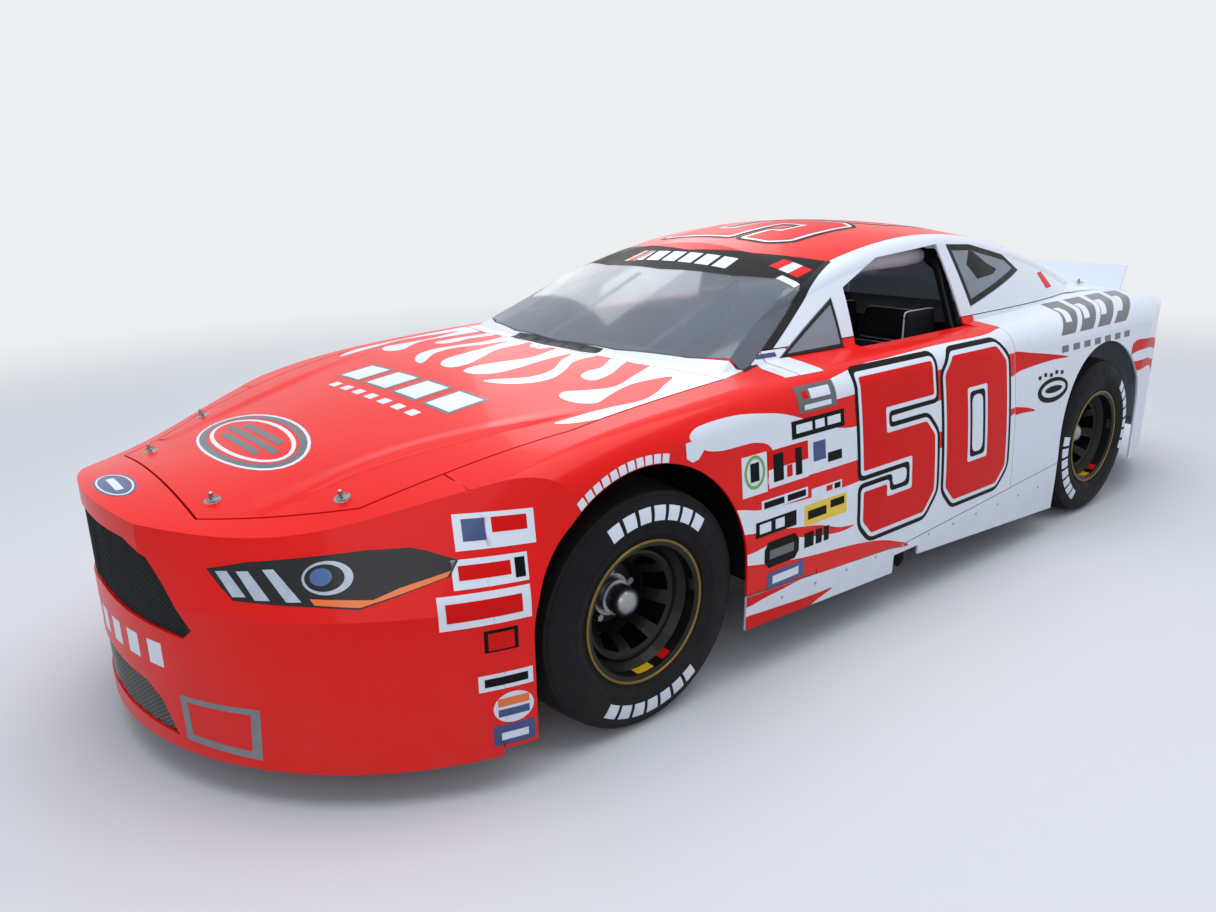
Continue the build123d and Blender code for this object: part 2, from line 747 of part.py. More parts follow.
def hub():
    """Hub, brake disc, wheel studs and domed dust cap, bored for the spindle."""
    face_x = disc_x - tyre_centre_x
    disc_back, disc_front = (x - tyre_centre_x for x in brake_disc_x)
    bore = spindle_radius + bore_play
    with BuildPart() as turning:
        with BuildSketch(Plane.XY):
            with BuildLine():
                Polyline(
                    (face_x + 56, 40),
                    (face_x + 22, 40),
                    (face_x + 22, hub_radius),
                    (face_x, hub_radius),
                    (face_x, hub_flange_radius),
                    (face_x - 12, hub_flange_radius),
                    (face_x - 12, hub_radius),
                    (disc_front, hub_radius),
                    (disc_front, brake_disc_radius),
                    (disc_back, brake_disc_radius),
                    (disc_back, bore),
                    (face_x + 52, bore),
                    (face_x + 52, 0),
                    (face_x + 82, 0),
                )
                ThreePointArc((face_x + 82, 0), (face_x + 75, 24), (face_x + 56, 40))
            make_face()
        revolve(axis=Axis.X)
        with BuildSketch(Plane.YZ.offset(face_x)):
            with PolarLocations(73, 5, start_angle=90):
                Circle(6)
        extrude(amount=26)
    return turning.part


tyre_centre_x = tyre_outer_x - tyre_width / 2
for side, sign in (("left", 1), ("right", -1)):
    for end, centre_y in (("front", -axle_y), ("rear", axle_y)):
        for piece, name in ((road_wheel(), "wheel"), (tyre(), "tyre"), (hub(), "hub")):
            placed = Pos(tyre_centre_x, centre_y, tyre_radius) * piece
            if sign < 0:
                placed = opposite(placed)
            save(placed, f"{side}_{end}_{name}")

# Steering knuckle: upright, spindle, steering arm and the brake caliper over the disc
caliper_radii = (100, 158)
caliper_x = (684, 732)
with BuildPart() as knuckle:
    add(box_between((625, -axle_y - 38, 235), (668, -axle_y + 38, 465)))
    with Locations((730, -axle_y, tyre_radius)):
        Cylinder(spindle_radius, 130, rotation=(0, 90, 0))
    add(box_between((630, -axle_y - 130, 250), (655, -axle_y - 38, 275)))
    add(box_between((640, -axle_y - 30, 449), (caliper_x[0] + 3, -axle_y + 30, 465)))
    with BuildSketch(Plane.YZ.offset(caliper_x[0])):
        with Locations((-axle_y, tyre_radius)):
            Circle(caliper_radii[1])
            Circle(caliper_radii[0], mode=Mode.SUBTRACT)
        with Locations((-axle_y, tyre_radius + 200)):
            Rectangle(130, 300, mode=Mode.INTERSECT)
    extrude(amount=caliper_x[1] - caliper_x[0])
    with BuildSketch(Plane.YZ.offset(brake_disc_x[0] - brake_gap)):
        with Locations((-axle_y, tyre_radius)):
            Circle(brake_disc_radius + brake_gap)
    extrude(amount=brake_disc_x[1] - brake_disc_x[0] + 2 * brake_gap, mode=Mode.SUBTRACT)
    with Locations((730, -axle_y, tyre_radius)):
        Cylinder(spindle_radius, 130, rotation=(0, 90, 0))
save(knuckle.part, "left_knuckle")
save(opposite(knuckle.part), "right_knuckle")
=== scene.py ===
# Looks for the stock car: paint, graphics, glass, trim, cockpit and wheels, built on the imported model
import json
import math
import bmesh
import bpy
from mathutils import Matrix, Vector, geometry


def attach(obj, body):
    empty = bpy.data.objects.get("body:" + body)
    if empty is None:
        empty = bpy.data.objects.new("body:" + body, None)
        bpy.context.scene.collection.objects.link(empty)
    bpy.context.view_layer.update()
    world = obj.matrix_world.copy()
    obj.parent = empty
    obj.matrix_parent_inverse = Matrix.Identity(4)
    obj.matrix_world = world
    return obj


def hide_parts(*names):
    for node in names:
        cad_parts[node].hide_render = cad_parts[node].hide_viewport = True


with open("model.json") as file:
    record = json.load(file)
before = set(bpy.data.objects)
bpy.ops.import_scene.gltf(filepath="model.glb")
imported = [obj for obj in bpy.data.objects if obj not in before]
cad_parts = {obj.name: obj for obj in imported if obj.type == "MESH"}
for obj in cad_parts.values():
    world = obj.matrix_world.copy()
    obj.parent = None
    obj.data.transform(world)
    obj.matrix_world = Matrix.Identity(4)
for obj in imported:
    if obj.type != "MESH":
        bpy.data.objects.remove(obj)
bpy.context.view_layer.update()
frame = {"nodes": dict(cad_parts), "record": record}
nodes = frame["nodes"]
bodyOf = {
    node: body
    for body, members in frame["record"]["behaviour"]["bodies"].items() for node in members
}
scene = bpy.context.scene
print("frame loaded:", len(nodes), "nodes")


def linearColour(hexText):
    channels = [int(hexText[i:i + 2], 16) / 255 for i in (1, 3, 5)]
    return tuple(c / 12.92 if c <= 0.04045 else ((c + 0.055) / 1.055) ** 2.4 for c in channels) + (1.0,)


def addNode(tree, kind, settings=None, links=None):
    node = tree.nodes.new(kind)
    for key, value in (settings or {}).items():
        if isinstance(key, str) and hasattr(node, key):
            setattr(node, key, value)
        else:
            node.inputs[key].default_value = value
    for key, socket in (links or {}).items():
        tree.links.new(socket, node.inputs[key])
    return node


# Each finish: main and second colour, patch size of their mix, grain size and depth in metres,
# roughness range.
# A fine grain is drawn at 1 to 4 mm, coarser than the real one, so that the render shows it.
finishDefaults = dict(
    patch=0.05, grain=0.003, depth=0.00002, rough=(0.3, 0.4), metallic=0.0, ior=1.5, coat=0, dust=0,
    stretch=(1, 1, 1),
)
finishes = {
    # cast vinyl wrap over composite, printed fluorescent red: strong colour, clear gloss, faint orange peel
    "redVinylWrap": dict(
        hex="#E8120B", second="#DE0D07", patch=0.5, grain=0.004, depth=0.00004, coat=0.18, dust=0.1,
        ior=1.22,
    ),
    # white two-part enamel, sprayed: white with a soft gloss, tinted blue as a painted reflection of the
    # bluish sky
    "whiteEnamel": dict(
        hex="#DDE3EC", second="#D3DAE5", patch=0.6, grain=0.004, depth=0.00004, rough=(0.25, 0.35),
        coat=0.4, dust=0.25,
    ),
    # cut calendered vinyl film, in the eight colours of the graphics: even colour, low soft gloss
    # the white film carries the same blue tint, a painted reflection of the bluish sky
    "whiteVinyl": dict(hex="#DFE5EE", second="#D6DDE7", patch=0.4, rough=(0.28, 0.38), coat=0.3, dust=0.25),
    "redVinyl": dict(
        hex="#DB0D0A", second="#CE0907", patch=0.4, rough=(0.35, 0.45), coat=0.02, dust=0.08, ior=1.2,
    ),
    "blackVinyl": dict(hex="#070809", second="#0C0D0F", patch=0.3, rough=(0.4, 0.5), dust=0.05, ior=1.18),
    "greyVinyl": dict(hex="#5A5E63", second="#4F5358", patch=0.3, rough=(0.3, 0.42), coat=0.2, dust=0.1),
    "blueVinyl": dict(hex="#26437F", second="#1D3566", patch=0.3, rough=(0.28, 0.4), coat=0.3, dust=0.1),
    "yellowVinyl": dict(hex="#F2CB12", second="#E3B908", patch=0.3, rough=(0.28, 0.4), coat=0.3, dust=0.1),
    "orangeVinyl": dict(hex="#F0741A", second="#E2600E", patch=0.2, rough=(0.25, 0.35), coat=0.4),
    "greenVinyl": dict(hex="#6FAE3A", second="#5E9A2F", patch=0.2, rough=(0.28, 0.4), coat=0.3),
    # printed lamp film: near-black and glossy, with pale printed light bars
    "lampFilm": dict(hex="#08090C", second="#14161B", depth=0.00001, coat=0.25, ior=1.3),
    # pale bars and blue lens of the same printed film
    "lampBar": dict(
        hex="#C8D2DE", second="#8E9AAA", patch=0.03, depth=0.00001, rough=(0.15, 0.25), coat=0.6,
    ),
    "lampBlue": dict(
        hex="#2F6FB5", second="#0E2A5C", patch=0.02, depth=0.00001, rough=(0.08, 0.15), coat=0.9,
    ),
    # cloth-backed duct tape: grey, slightly creased, dull
    "ductTape": dict(
        hex="#83878A", second="#6D7174", patch=0.06, grain=0.002, depth=0.0002, rough=(0.45, 0.6),
        dust=0.1,
    ),
    # powder-coated steel wheel, satin to gloss black with brake dust
    "wheelEnamel": dict(
        hex="#08090B", second="#14110F", patch=0.08, grain=0.002, depth=0.00006, rough=(0.38, 0.55),
        coat=0.12, ior=1.3,
    ),
    # brass-coloured anodised band: soft metallic sheen under brake dust
    "brassBand": dict(
        hex="#8F7434", second="#6E5A2A", grain=0.001, depth=0.00004, rough=(0.35, 0.5), metallic=0.8,
    ),
    # machined steel: grey metal with fine turning marks
    "machinedSteel": dict(
        hex="#A9ABAD", second="#85878A", patch=0.03, grain=0.001, depth=0.00005, rough=(0.25, 0.42),
        metallic=1.0, stretch=(1, 8, 8),
    ),
    # sand-cast iron: rough grey-brown metal with a coarse skin
    "castIron": dict(
        hex="#4A4744", second="#332F2C", patch=0.04, depth=0.0004, rough=(0.6, 0.8), metallic=0.7,
        dust=0.2,
    ),
    # black enamel over drawn steel tube
    "frameEnamel": dict(
        hex="#16171A", second="#232427", patch=0.1, depth=0.00005, rough=(0.35, 0.5), coat=0.2, dust=0.2,
        ior=1.3,
    ),
    # rolled aluminium sheet with dull rubbed streaks
    "sheetAluminium": dict(
        hex="#8E9194", second="#74777A", patch=0.08, grain=0.002, depth=0.00008, rough=(0.38, 0.55),
        metallic=0.9, dust=0.2, stretch=(1, 6, 1),
    ),
    # the cabin's sheet: flat near-black, its darkness painted shade of the dim cabin
    "cabinEnamel": dict(
        hex="#131416", second="#0D0E10", patch=0.12, grain=0.002, depth=0.0001, rough=(0.6, 0.75),
        dust=0.1, ior=1.3,
    ),
    # mild steel tube tempered by heat: brown and blue patches
    "hotSteel": dict(
        hex="#6B625A", second="#4A3C34", patch=0.09, depth=0.0002, rough=(0.4, 0.6), metallic=0.85,
        dust=0.2,
    ),
    # powder coat over wound spring steel: even red gloss
    "springEnamel": dict(hex="#C3201C", second="#A11815", depth=0.00003, coat=0.3, dust=0.1),
    # racing slick compound: charcoal, scrubbed and dusty on the tread
    "slickRubber": dict(
        hex="#050609", second="#0A0B0E", grain=0.002, depth=0.00025, rough=(0.62, 0.8), dust=0.05,
        ior=1.3,
    ),
    # moulded rubber grip: matt and black
    "blackRubber": dict(hex="#0E0F10", second="#17181A", depth=0.0001, rough=(0.5, 0.65), ior=1.3),
    # ABS with a moulded grain
    "grainedPlastic": dict(
        hex="#151619", second="#1E2023", grain=0.0015, depth=0.0002, rough=(0.42, 0.55), ior=1.3,
    ),
    # spun aluminium seat shell in dark satin paint: a low metallic sheen
    "seatShell": dict(
        hex="#2A2C30", second="#202226", patch=0.1, grain=0.002, depth=0.0001, rough=(0.4, 0.5),
        metallic=0.6,
    ),
    # extruded window rubber: near-black and dull; the same dark film is laid as painted shade in the cowl
    # intake slot and the quarter-glass duct
    "windowRubber": dict(
        hex="#15171A", second="#0E0F11", patch=0.1, depth=0.0001, rough=(0.45, 0.6), ior=1.3,
    ),
    # knitted nylon cover: black cloth with a fine rib, no shine
    "seatFabric": dict(
        hex="#17181B", second="#222327", patch=0.04, grain=0.0015, depth=0.0003, rough=(0.8, 0.95),
        ior=1.3,
    ),
    # woven polyester harness webbing
    "harnessWebbing": dict(
        hex="#1B2C63", second="#14214C", patch=0.03, grain=0.002, depth=0.0003, rough=(0.6, 0.8),
    ),
    # closed-cell foam sleeve in pale coated cloth: dull and faintly wrinkled
    "palePadding": dict(hex="#D9DCE0", second="#C6CACF", grain=0.002, depth=0.0004, rough=(0.6, 0.8)),
}
glassFinishes = {
    # polycarbonate sheet: clear, under a pale film that is partly dust and partly a painted reflection of the
    # bright sky; the side panes are smoked
    "clearPolycarbonate": dict(hex="#E6EDF0", rough=0.02, film=0.3, dustAndReflectionHex="#87919F"),
    "smokedPolycarbonate": dict(hex="#AEB4BA", rough=0.1, film=0.6, dustAndReflectionHex="#9BA3AD"),
}


dustSettings = dict(hex="#8A8279", top=0.5, bottom=0.08, spots=14.0)  # heights in metres


def clearTree(owner):
    owner.use_nodes = True
    owner.node_tree.nodes.clear()
    return owner.node_tree


def addNoise(tree, scale, detail, vector):
    return addNode(
        tree, "ShaderNodeTexNoise", {"Scale": scale, "Detail": detail}, {"Vector": vector},
    ).outputs[0]


def makeFinish(name, differences):
    look = {**finishDefaults, **differences}
    material = bpy.data.materials.new(name)
    tree = clearTree(material)
    position = addNode(tree, "ShaderNodeTexCoord").outputs["Object"]
    stretched = addNode(
        tree, "ShaderNodeMapping", {"Scale": look["stretch"]}, {"Vector": position},
    ).outputs[0]
    cloud = addNoise(tree, 1 / look["patch"], 5.0, stretched)
    colour = addNode(
        tree, "ShaderNodeMix",
        {"data_type": "RGBA", 6: linearColour(look["hex"]), 7: linearColour(look["second"])}, {0: cloud},
    ).outputs[2]
    if look["dust"]:  # road dust gathers low down, in an uneven film
        height = addNode(tree, "ShaderNodeSeparateXYZ", None, {0: position}).outputs[2]
        low = addNode(
            tree, "ShaderNodeMapRange",
            {"From Min": dustSettings["top"], "From Max": dustSettings["bottom"], "To Max": look["dust"]},
            {0: height},
        ).outputs[0]
        spots = addNoise(tree, dustSettings["spots"], 8.0, position)
        film = addNode(tree, "ShaderNodeMath", {"operation": "MULTIPLY"}, {0: low, 1: spots}).outputs[0]
        colour = addNode(
            tree, "ShaderNodeMix", {"data_type": "RGBA", 7: linearColour(dustSettings["hex"])},
            {0: film, 6: colour},
        ).outputs[2]
    grain = addNoise(tree, 1 / look["grain"], 2.0, stretched)
    rough = addNode(
        tree, "ShaderNodeMapRange",
        {"From Min": 0.3, "From Max": 0.7, "To Min": look["rough"][0], "To Max": look["rough"][1]},
        {0: cloud},
    ).outputs[0]
    bump = addNode(
        tree, "ShaderNodeBump", {"Strength": 0.6, "Distance": look["depth"]}, {"Height": grain},
    ).outputs[0]
    shader = addNode(
        tree, "ShaderNodeBsdfPrincipled",
        {
            "Metallic": look["metallic"], "IOR": look["ior"], "Coat Weight": look["coat"],
            "Coat Roughness": 0.08,
        },
        {"Base Color": colour, "Roughness": rough, "Normal": bump},
    )
    addNode(tree, "ShaderNodeOutputMaterial", None, {"Surface": shader.outputs[0]})
    return material


def makeGlass(name, look):
    material = bpy.data.materials.new(name)
    tree = clearTree(material)
    haze = addNoise(tree, 9.0, 6.0, addNode(tree, "ShaderNodeTexCoord").outputs["Object"])
    rough = addNode(
        tree, "ShaderNodeMapRange", {"To Min": look["rough"], "To Max": look["rough"] + 0.08}, {0: haze},
    )
    shader = addNode(
        tree, "ShaderNodeBsdfPrincipled",
        {"Base Color": linearColour(look["hex"]), "Transmission Weight": 1.0, "IOR": 1.45},
        {"Roughness": rough.outputs[0]},
    )
    # a thin pale film on the sheet: dust and wipe marks, and a painted reflection of the bright sky that
    # lightens the glass
    film = addNode(tree, "ShaderNodeBsdfDiffuse", {"Color": linearColour(look["dustAndReflectionHex"])})
    share = addNode(
        tree, "ShaderNodeMapRange", {"To Min": look["film"] * 0.8, "To Max": look["film"] * 1.2}, {0: haze},
    )
    mixed = addNode(
        tree, "ShaderNodeMixShader", None,
        {0: share.outputs[0], 1: shader.outputs[0], 2: film.outputs[0]},
    )
    addNode(tree, "ShaderNodeOutputMaterial", None, {"Surface": mixed.outputs[0]})
    return material


materials = {name: makeFinish(name, look) for name, look in finishes.items()}
materials.update({name: makeGlass(name, look) for name, look in glassFinishes.items()})

nodeFinish = {
    "redVinylWrap": [
        "nose_cover", "hood", "left_fender", "right_fender", "left_door", "right_door", "roof_panel",
    ],
    "whiteEnamel": [
        "cowl_panel", "left_quarter_panel", "right_quarter_panel", "left_side_frame", "right_side_frame",
        "rocker_skirts", "deck_lid", "rear_bumper", "rear_spoiler",
    ],
    "clearPolycarbonate": ["windscreen", "rear_window"], "smokedPolycarbonate": ["side_glass"],
    "frameEnamel": [
        "frame_rails", "cross_members", "main_hoop", "roof_bars", "cage_cross_bars", "door_bars",
        "rear_braces", "suspension_arms",
    ],
    "cabinEnamel": ["floor_tub"], "sheetAluminium": ["radiator", "fuel_cell", "gearbox", "driveshaft"],
    "castIron": ["engine", "rear_axle", "left_knuckle", "right_knuckle"], "hotSteel": ["exhaust_pipes"],
    "springEnamel": ["coil_springs"], "grainedPlastic": ["front_grilles", "dashboard"],
    "blackRubber": ["steering_wheel"], "machinedSteel": ["steering_column"], "seatShell": ["driver_seat"],
}
for side in ("left", "right"):
    for end in ("front", "rear"):
        nodeFinish.setdefault("slickRubber", []).append(f"{side}_{end}_tyre")
        nodeFinish.setdefault("wheelEnamel", []).append(f"{side}_{end}_wheel")
        nodeFinish["machinedSteel"].append(f"{side}_{end}_hub")
for finish, members in nodeFinish.items():
    for member in members:
        nodes[member].data.materials.clear()
        nodes[member].data.materials.append(materials[finish])
print("finishes made:", len(materials))


def linked(name, data):
    item = bpy.data.objects.new(name, data)
    scene.collection.objects.link(item)
    return item


def newPiece(name, mesh, body):
    piece = linked(name, mesh)
    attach(piece, body)
    return piece


def bakedMesh(holder):
    # the holder's mesh with its modifiers applied; the holder itself goes
    bpy.context.view_layer.update()
    mesh = bpy.data.meshes.new_from_object(holder.evaluated_get(bpy.context.evaluated_depsgraph_get()))
    bpy.data.objects.remove(holder)
    return mesh


def smoothLoop(points, steps=4):
    # closed Catmull-Rom curve through the points
    curve = []
    count = len(points)
    for i in range(count):
        a, b, c, d = (Vector(points[(i + k) % count]) for k in (-1, 0, 1, 2))
        square, cube = 2 * a - 5 * b + 4 * c - d, 3 * b - a - 3 * c + d
        for step in range(steps):
            t = step / steps
            curve.append(0.5 * (2 * b + (c - a) * t + square * t * t + cube * t**3))
    return curve


def growLoop(points, amount):
    # offsets a counter-clockwise loop outwards with mitred corners
    grown = []
    count = len(points)
    for i in range(count):
        a, b, c = (Vector(points[(i + k) % count]) for k in (-1, 0, 1))
        before = (b - a).normalized()
        after = (c - b).normalized()
        mitre = Vector((before.y + after.y, -before.x - after.x)).normalized()
        grown.append(b + mitre * amount / max(0.3, mitre.dot(Vector((before.y, -before.x)))))
    return grown


def roundLoop(points, radius, steps=3):
    rounded = []
    count = len(points)
    for i in range(count):
        a, b, c = (Vector(points[(i + k) % count]) for k in (-1, 0, 1))
        reach = min(radius, (a - b).length * 0.45, (c - b).length * 0.45)
        start = b + (a - b).normalized() * reach
        end = b + (c - b).normalized() * reach
        for step in range(steps + 1):
            t = step / steps
            rounded.append(start * (1 - t) ** 2 + b * 2 * t * (1 - t) + end * t * t)
    return rounded


def fullTurn(count):
    return [2 * math.pi * i / count for i in range(count)]


def ellipseLoop(centre, radii, count=32):
    return [
        Vector((centre[0] + radii[0] * math.cos(t), centre[1] + radii[1] * math.sin(t)))
        for t in fullTurn(count)
    ]


def ovalRing(centre, outer, inner):
    return [ellipseLoop(centre, outer), ellipseLoop(centre, inner)]


def boxes(rows):
    # one rectangle for each row of left, low, right and high
    return [[[(a, b), (c, b), (c, d), (a, d)]] for a, b, c, d in rows]


def mirrored(half):
    # closes a half outline that runs from the centreline out and back to it
    return half + [(-x, y) for x, y in reversed(half[1:-1])]


# A view holds where a flat drawing lies: its two axes and the way out of the body, from near to far
def flatView(across, up, out, near=0.3, far=1.6):
    return dict(across=Vector(across), up=Vector(up), out=Vector(out), near=near, far=far)


views = {
    "left": flatView((0, 1, 0), (0, 0, 1), (1, 0, 0)),
    "right": flatView((0, 1, 0), (0, 0, 1), (-1, 0, 0)),
    "rightRead": flatView((0, -1, 0), (0, 0, 1), (-1, 0, 0)),
    "top": flatView((1, 0, 0), (0, 1, 0), (0, 0, 1)),
    "roofRead": flatView((0, 1, 0), (-1, 0, 0), (0, 0, 1), 1.0),
    "front": flatView((1, 0, 0), (0, 0, 1), (0, -1, 0), 1.9, 2.7),
    "rear": flatView((1, 0, 0), (0, 0, 1), (0, 1, 0), 1.9, 2.7),
}
for side, sign in (("left", 1), ("right", -1)):
    for angle in (45, 70):
        turn = math.radians(angle)
        views[f"{side}Nose{angle}"] = flatView(
            (sign * math.cos(turn), math.sin(turn), 0), (0, 0, 1),
            (sign * math.sin(turn), -math.cos(turn), 0), 0.6, 3,
        )
    views[f"{side}Shoulder"] = flatView((0, 1, 0), (-sign * 0.5, 0, 0.866), (sign * 0.866, 0, 0.5), 0.6, 2)

surfaces = dict(nodes)
markPanel = bpy.data.materials.new("markPanel")
markCutter = bpy.data.materials.new("markCutter")
weldedMeshes = {}
graphics = {}


def weldedPanel(node):
    if node not in weldedMeshes:
        mesh = surfaces[node].data.copy()
        mesh.materials.clear()
        mesh.materials.append(markPanel)
        form = bmesh.new()
        form.from_mesh(mesh)
        bmesh.ops.remove_doubles(form, verts=form.verts, dist=1e-5)
        for face in form.faces:
            face.material_index = 0
        form.to_mesh(mesh)
        form.free()
        weldedMeshes[node] = mesh
    return weldedMeshes[node]


def panelNormal(node, point, guide=None):
    # the panel's own smooth normal at the nearest point of its surface
    mesh = surfaces[node].data
    found, place, normal, index = surfaces[node].closest_point_on_mesh(point)
    face = mesh.polygons[index]
    corners = [mesh.vertices[i].co for i in face.vertices]
    if len(corners) != 3:
        return normal
    shares = geometry.barycentric_transform(
        place, *corners, *(Vector(axis) for axis in ((1, 0, 0), (0, 1, 0), (0, 0, 1))),
    )
    mixed = Vector((0, 0, 0))
    for share, loop in zip(shares, face.loop_indices):
        mixed += mesh.corner_normals[loop].vector * share
    if mixed.length > 0.5:
        normal = mixed.normalized()
    return guide.copy() if guide is not None and normal.dot(guide) < 0.8 else normal


def cutterMesh(shapes, view):
    # closed prisms along the view's way out, one for each shape of outer loop and holes
    form = bmesh.new()
    for outlines in shapes:
        loops = [[Vector(point) for point in loop] for loop in outlines]
        flat = [point for loop in loops for point in loop]
        rows = [
            [form.verts.new(view["across"] * p.x + view["up"] * p.y + view["out"] * depth) for p in flat]
            for depth in (view["near"], view["far"])
        ]
        faces = geometry.tessellate_polygon([[Vector((p.x, p.y, 0)) for p in loop] for loop in loops])
        for corners in faces:
            form.faces.new([rows[0][i] for i in corners])
            form.faces.new([rows[1][i] for i in reversed(corners)])
        start = 0
        for loop in loops:
            count = len(loop)
            for i in range(count):
                a, b = start + i, start + (i + 1) % count
                form.faces.new((rows[0][a], rows[0][b], rows[1][b], rows[1][a]))
            start += count
    bmesh.ops.recalc_face_normals(form, faces=form.faces)
    mesh = bpy.data.meshes.new("cutter")
    form.to_mesh(mesh)
    form.free()
    mesh.materials.append(markCutter)
    return mesh


graphicSettings = dict(lift=0.0005, thickness=0.0003, facing=0.12, weld=2e-6)


def addGraphic(group, members, viewName, shapes, finish, level):
    # vinyl cut to the shapes from the panels' own outer faces, half a millimetre up for each level
    view = views[viewName]
    cutter = linked("cutter", cutterMesh(shapes, view))
    for node in members:
        blank = linked("blank", weldedPanel(node))
        cut = blank.modifiers.new("cut", "BOOLEAN")
        cut.operation = "INTERSECT"
        cut.solver = "EXACT"
        cut.material_mode = "TRANSFER"
        cut.object = cutter
        result = bakedMesh(blank)
        form = bmesh.new()
        form.from_mesh(result)
        names = [m.name if m else "" for m in result.materials]
        form.normal_update()
        facing = graphicSettings["facing"]
        dead = [
            f for f in form.faces
            if names[f.material_index] != markPanel.name or f.normal.dot(view["out"]) < facing
        ]
        bmesh.ops.delete(form, geom=dead, context="FACES")
        bmesh.ops.remove_doubles(form, verts=form.verts, dist=graphicSettings["weld"])
        form.normal_update()
        store = graphics.setdefault((group, bodyOf[node]), dict(points=[], normals=[], faces=[], marks=[]))
        start = len(store["points"])
        form.verts.index_update()
        for v in form.verts:
            normal = panelNormal(node, v.co, v.normal)
            store["normals"].append(normal)
            store["points"].append(v.co + normal * graphicSettings["lift"] * level)
        store["faces"] += [[start + v.index for v in f.verts] for f in form.faces]
        store["marks"] += [finish] * len(form.faces)
        form.free()
        bpy.data.meshes.remove(result)
    bpy.data.meshes.remove(cutter.data)


def addGraphics(group, members, viewName, rows):
    for finish, level, shapes in rows:
        addGraphic(group, members, viewName, shapes, finish, level)


def finishGraphics():
    for (group, body), store in graphics.items():
        if not store["faces"]:
            continue
        mesh = bpy.data.meshes.new(group)
        mesh.from_pydata(store["points"], [], store["faces"])
        used = sorted(set(store["marks"]))
        for finish in used:
            mesh.materials.append(materials[finish])
        mesh.polygons.foreach_set("material_index", [used.index(mark) for mark in store["marks"]])
        mesh.polygons.foreach_set("use_smooth", [True] * len(mesh.polygons))
        sheet = linked("sheet", mesh)
        thick = sheet.modifiers.new("thick", "SOLIDIFY")
        thick.thickness = graphicSettings["thickness"]
        thick.offset = -1
        final = bakedMesh(sheet)
        count = len(store["points"])
        if len(final.vertices) == 2 * count:
            final.normals_split_custom_set_from_vertices(store["normals"] + [-n for n in store["normals"]])
        newPiece(f"{group}_{body}", final, body)


def meshFrom(name, form, finish, angle=None):
    # edges sharper than the angle stay hard, and a mesh without an angle is flat all over
    bmesh.ops.recalc_face_normals(form, faces=form.faces)
    mesh = bpy.data.meshes.new(name)
    form.to_mesh(mesh)
    form.free()
    mesh.materials.append(materials[finish])
    if angle:
        mesh.polygons.foreach_set("use_smooth", [True] * len(mesh.polygons))
        mesh.set_sharp_from_angle(angle=math.radians(angle))
    return mesh


def addPiece(name, form, finish, body, angle=None):
    return newPiece(name, meshFrom(name, form, finish, angle), body)


def closeShells(form, over, under):
    # joins two grids of vertices, front and back, into one closed sheet and returns the way round its rim
    deep, wide = len(over) - 1, len(over[0]) - 1
    for i in range(deep):
        for k in range(wide):
            form.faces.new((over[i][k], over[i][k + 1], over[i + 1][k + 1], over[i + 1][k]))
            form.faces.new((under[i][k], under[i + 1][k], under[i + 1][k + 1], under[i][k + 1]))
    rim = [(0, k) for k in range(wide)] + [(i, wide) for i in range(deep)]
    rim += [(deep, k) for k in range(wide, 0, -1)] + [(i, 0) for i in range(deep, 0, -1)]
    for (i, k), (m, n) in zip(rim, rim[1:] + rim[:1]):
        form.faces.new((under[i][k], under[m][n], over[m][n], over[i][k]))
    return rim


def joinRings(form, rings, closed=False):
    # skins the rings in turn, with end caps unless the last one joins the first
    pairs = list(zip(rings, rings[1:])) + ([(rings[-1], rings[0])] if closed else [])
    for a, b in pairs:
        for i in range(len(a)):
            k = (i + 1) % len(a)
            form.faces.new((a[i], a[k], b[k], b[i]))
    if not closed:
        form.faces.new(list(reversed(rings[0])))
        form.faces.new(rings[-1])


# Wrap film carried over the joints of nose cover, fender and door; the graphics are laid on it as on a panel
def surfaceStrip(form, rows, thickness=0.0012):
    # closed thin sheet through rows of (point, normal)
    shells = [
        [[form.verts.new(point + normal * lift) for point, normal in row] for row in rows]
        for lift in (0.0, -thickness)
    ]
    closeShells(form, *shells)


def castOn(members, origin, aim):
    best = None
    for node in members:
        hit, place, normal, index = nodes[node].ray_cast(Vector(origin), Vector(aim))
        if hit and (best is None or (place - Vector(origin)).length < (best[0] - Vector(origin)).length):
            best = (place, panelNormal(node, place))
    return best


filmSettings = dict(reach=0.008, lift=0.0004, gap=0.0015, rows=60)
films = {
    "NoseFilm": dict(seamY=-1.793, low=0.135, high=0.815, over=("fender", "nose_cover")),
    "DoorFilm": dict(seamY=-0.638, low=0.272, high=0.905, over=("fender", "door")),
}
for name, film in films.items():
    for side, sign in (("left", 1), ("right", -1)):
        members = [node if node == "nose_cover" else f"{side}_{node}" for node in film["over"]]
        rows = []
        for i in range(filmSettings["rows"]):
            z = film["low"] + (film["high"] - film["low"]) * i / (filmSettings["rows"] - 1)
            row = []
            for k in (-2, -1, 1, 2):
                gap = math.copysign(filmSettings["gap"], k)
                y = film["seamY"] + filmSettings["reach"] * k / 2 + gap
                found = castOn(members, (sign * 1.5, y, z), (-sign, 0, 0))
                if found:
                    row.append((found[0] + found[1] * filmSettings["lift"], found[1]))
            if len(row) == 4:
                rows.append(row)
        form = bmesh.new()
        surfaceStrip(form, rows)
        surfaces[f"{side}{name}"] = addPiece(f"{side}{name}", form, "redVinylWrap", "chassis", 60)
        bodyOf[f"{side}{name}"] = "chassis"
print("seam film laid")

sidePanels = {
    side: [f"{side}_fender", f"{side}_door", f"{side}DoorFilm"] for side in ("left", "right")
}
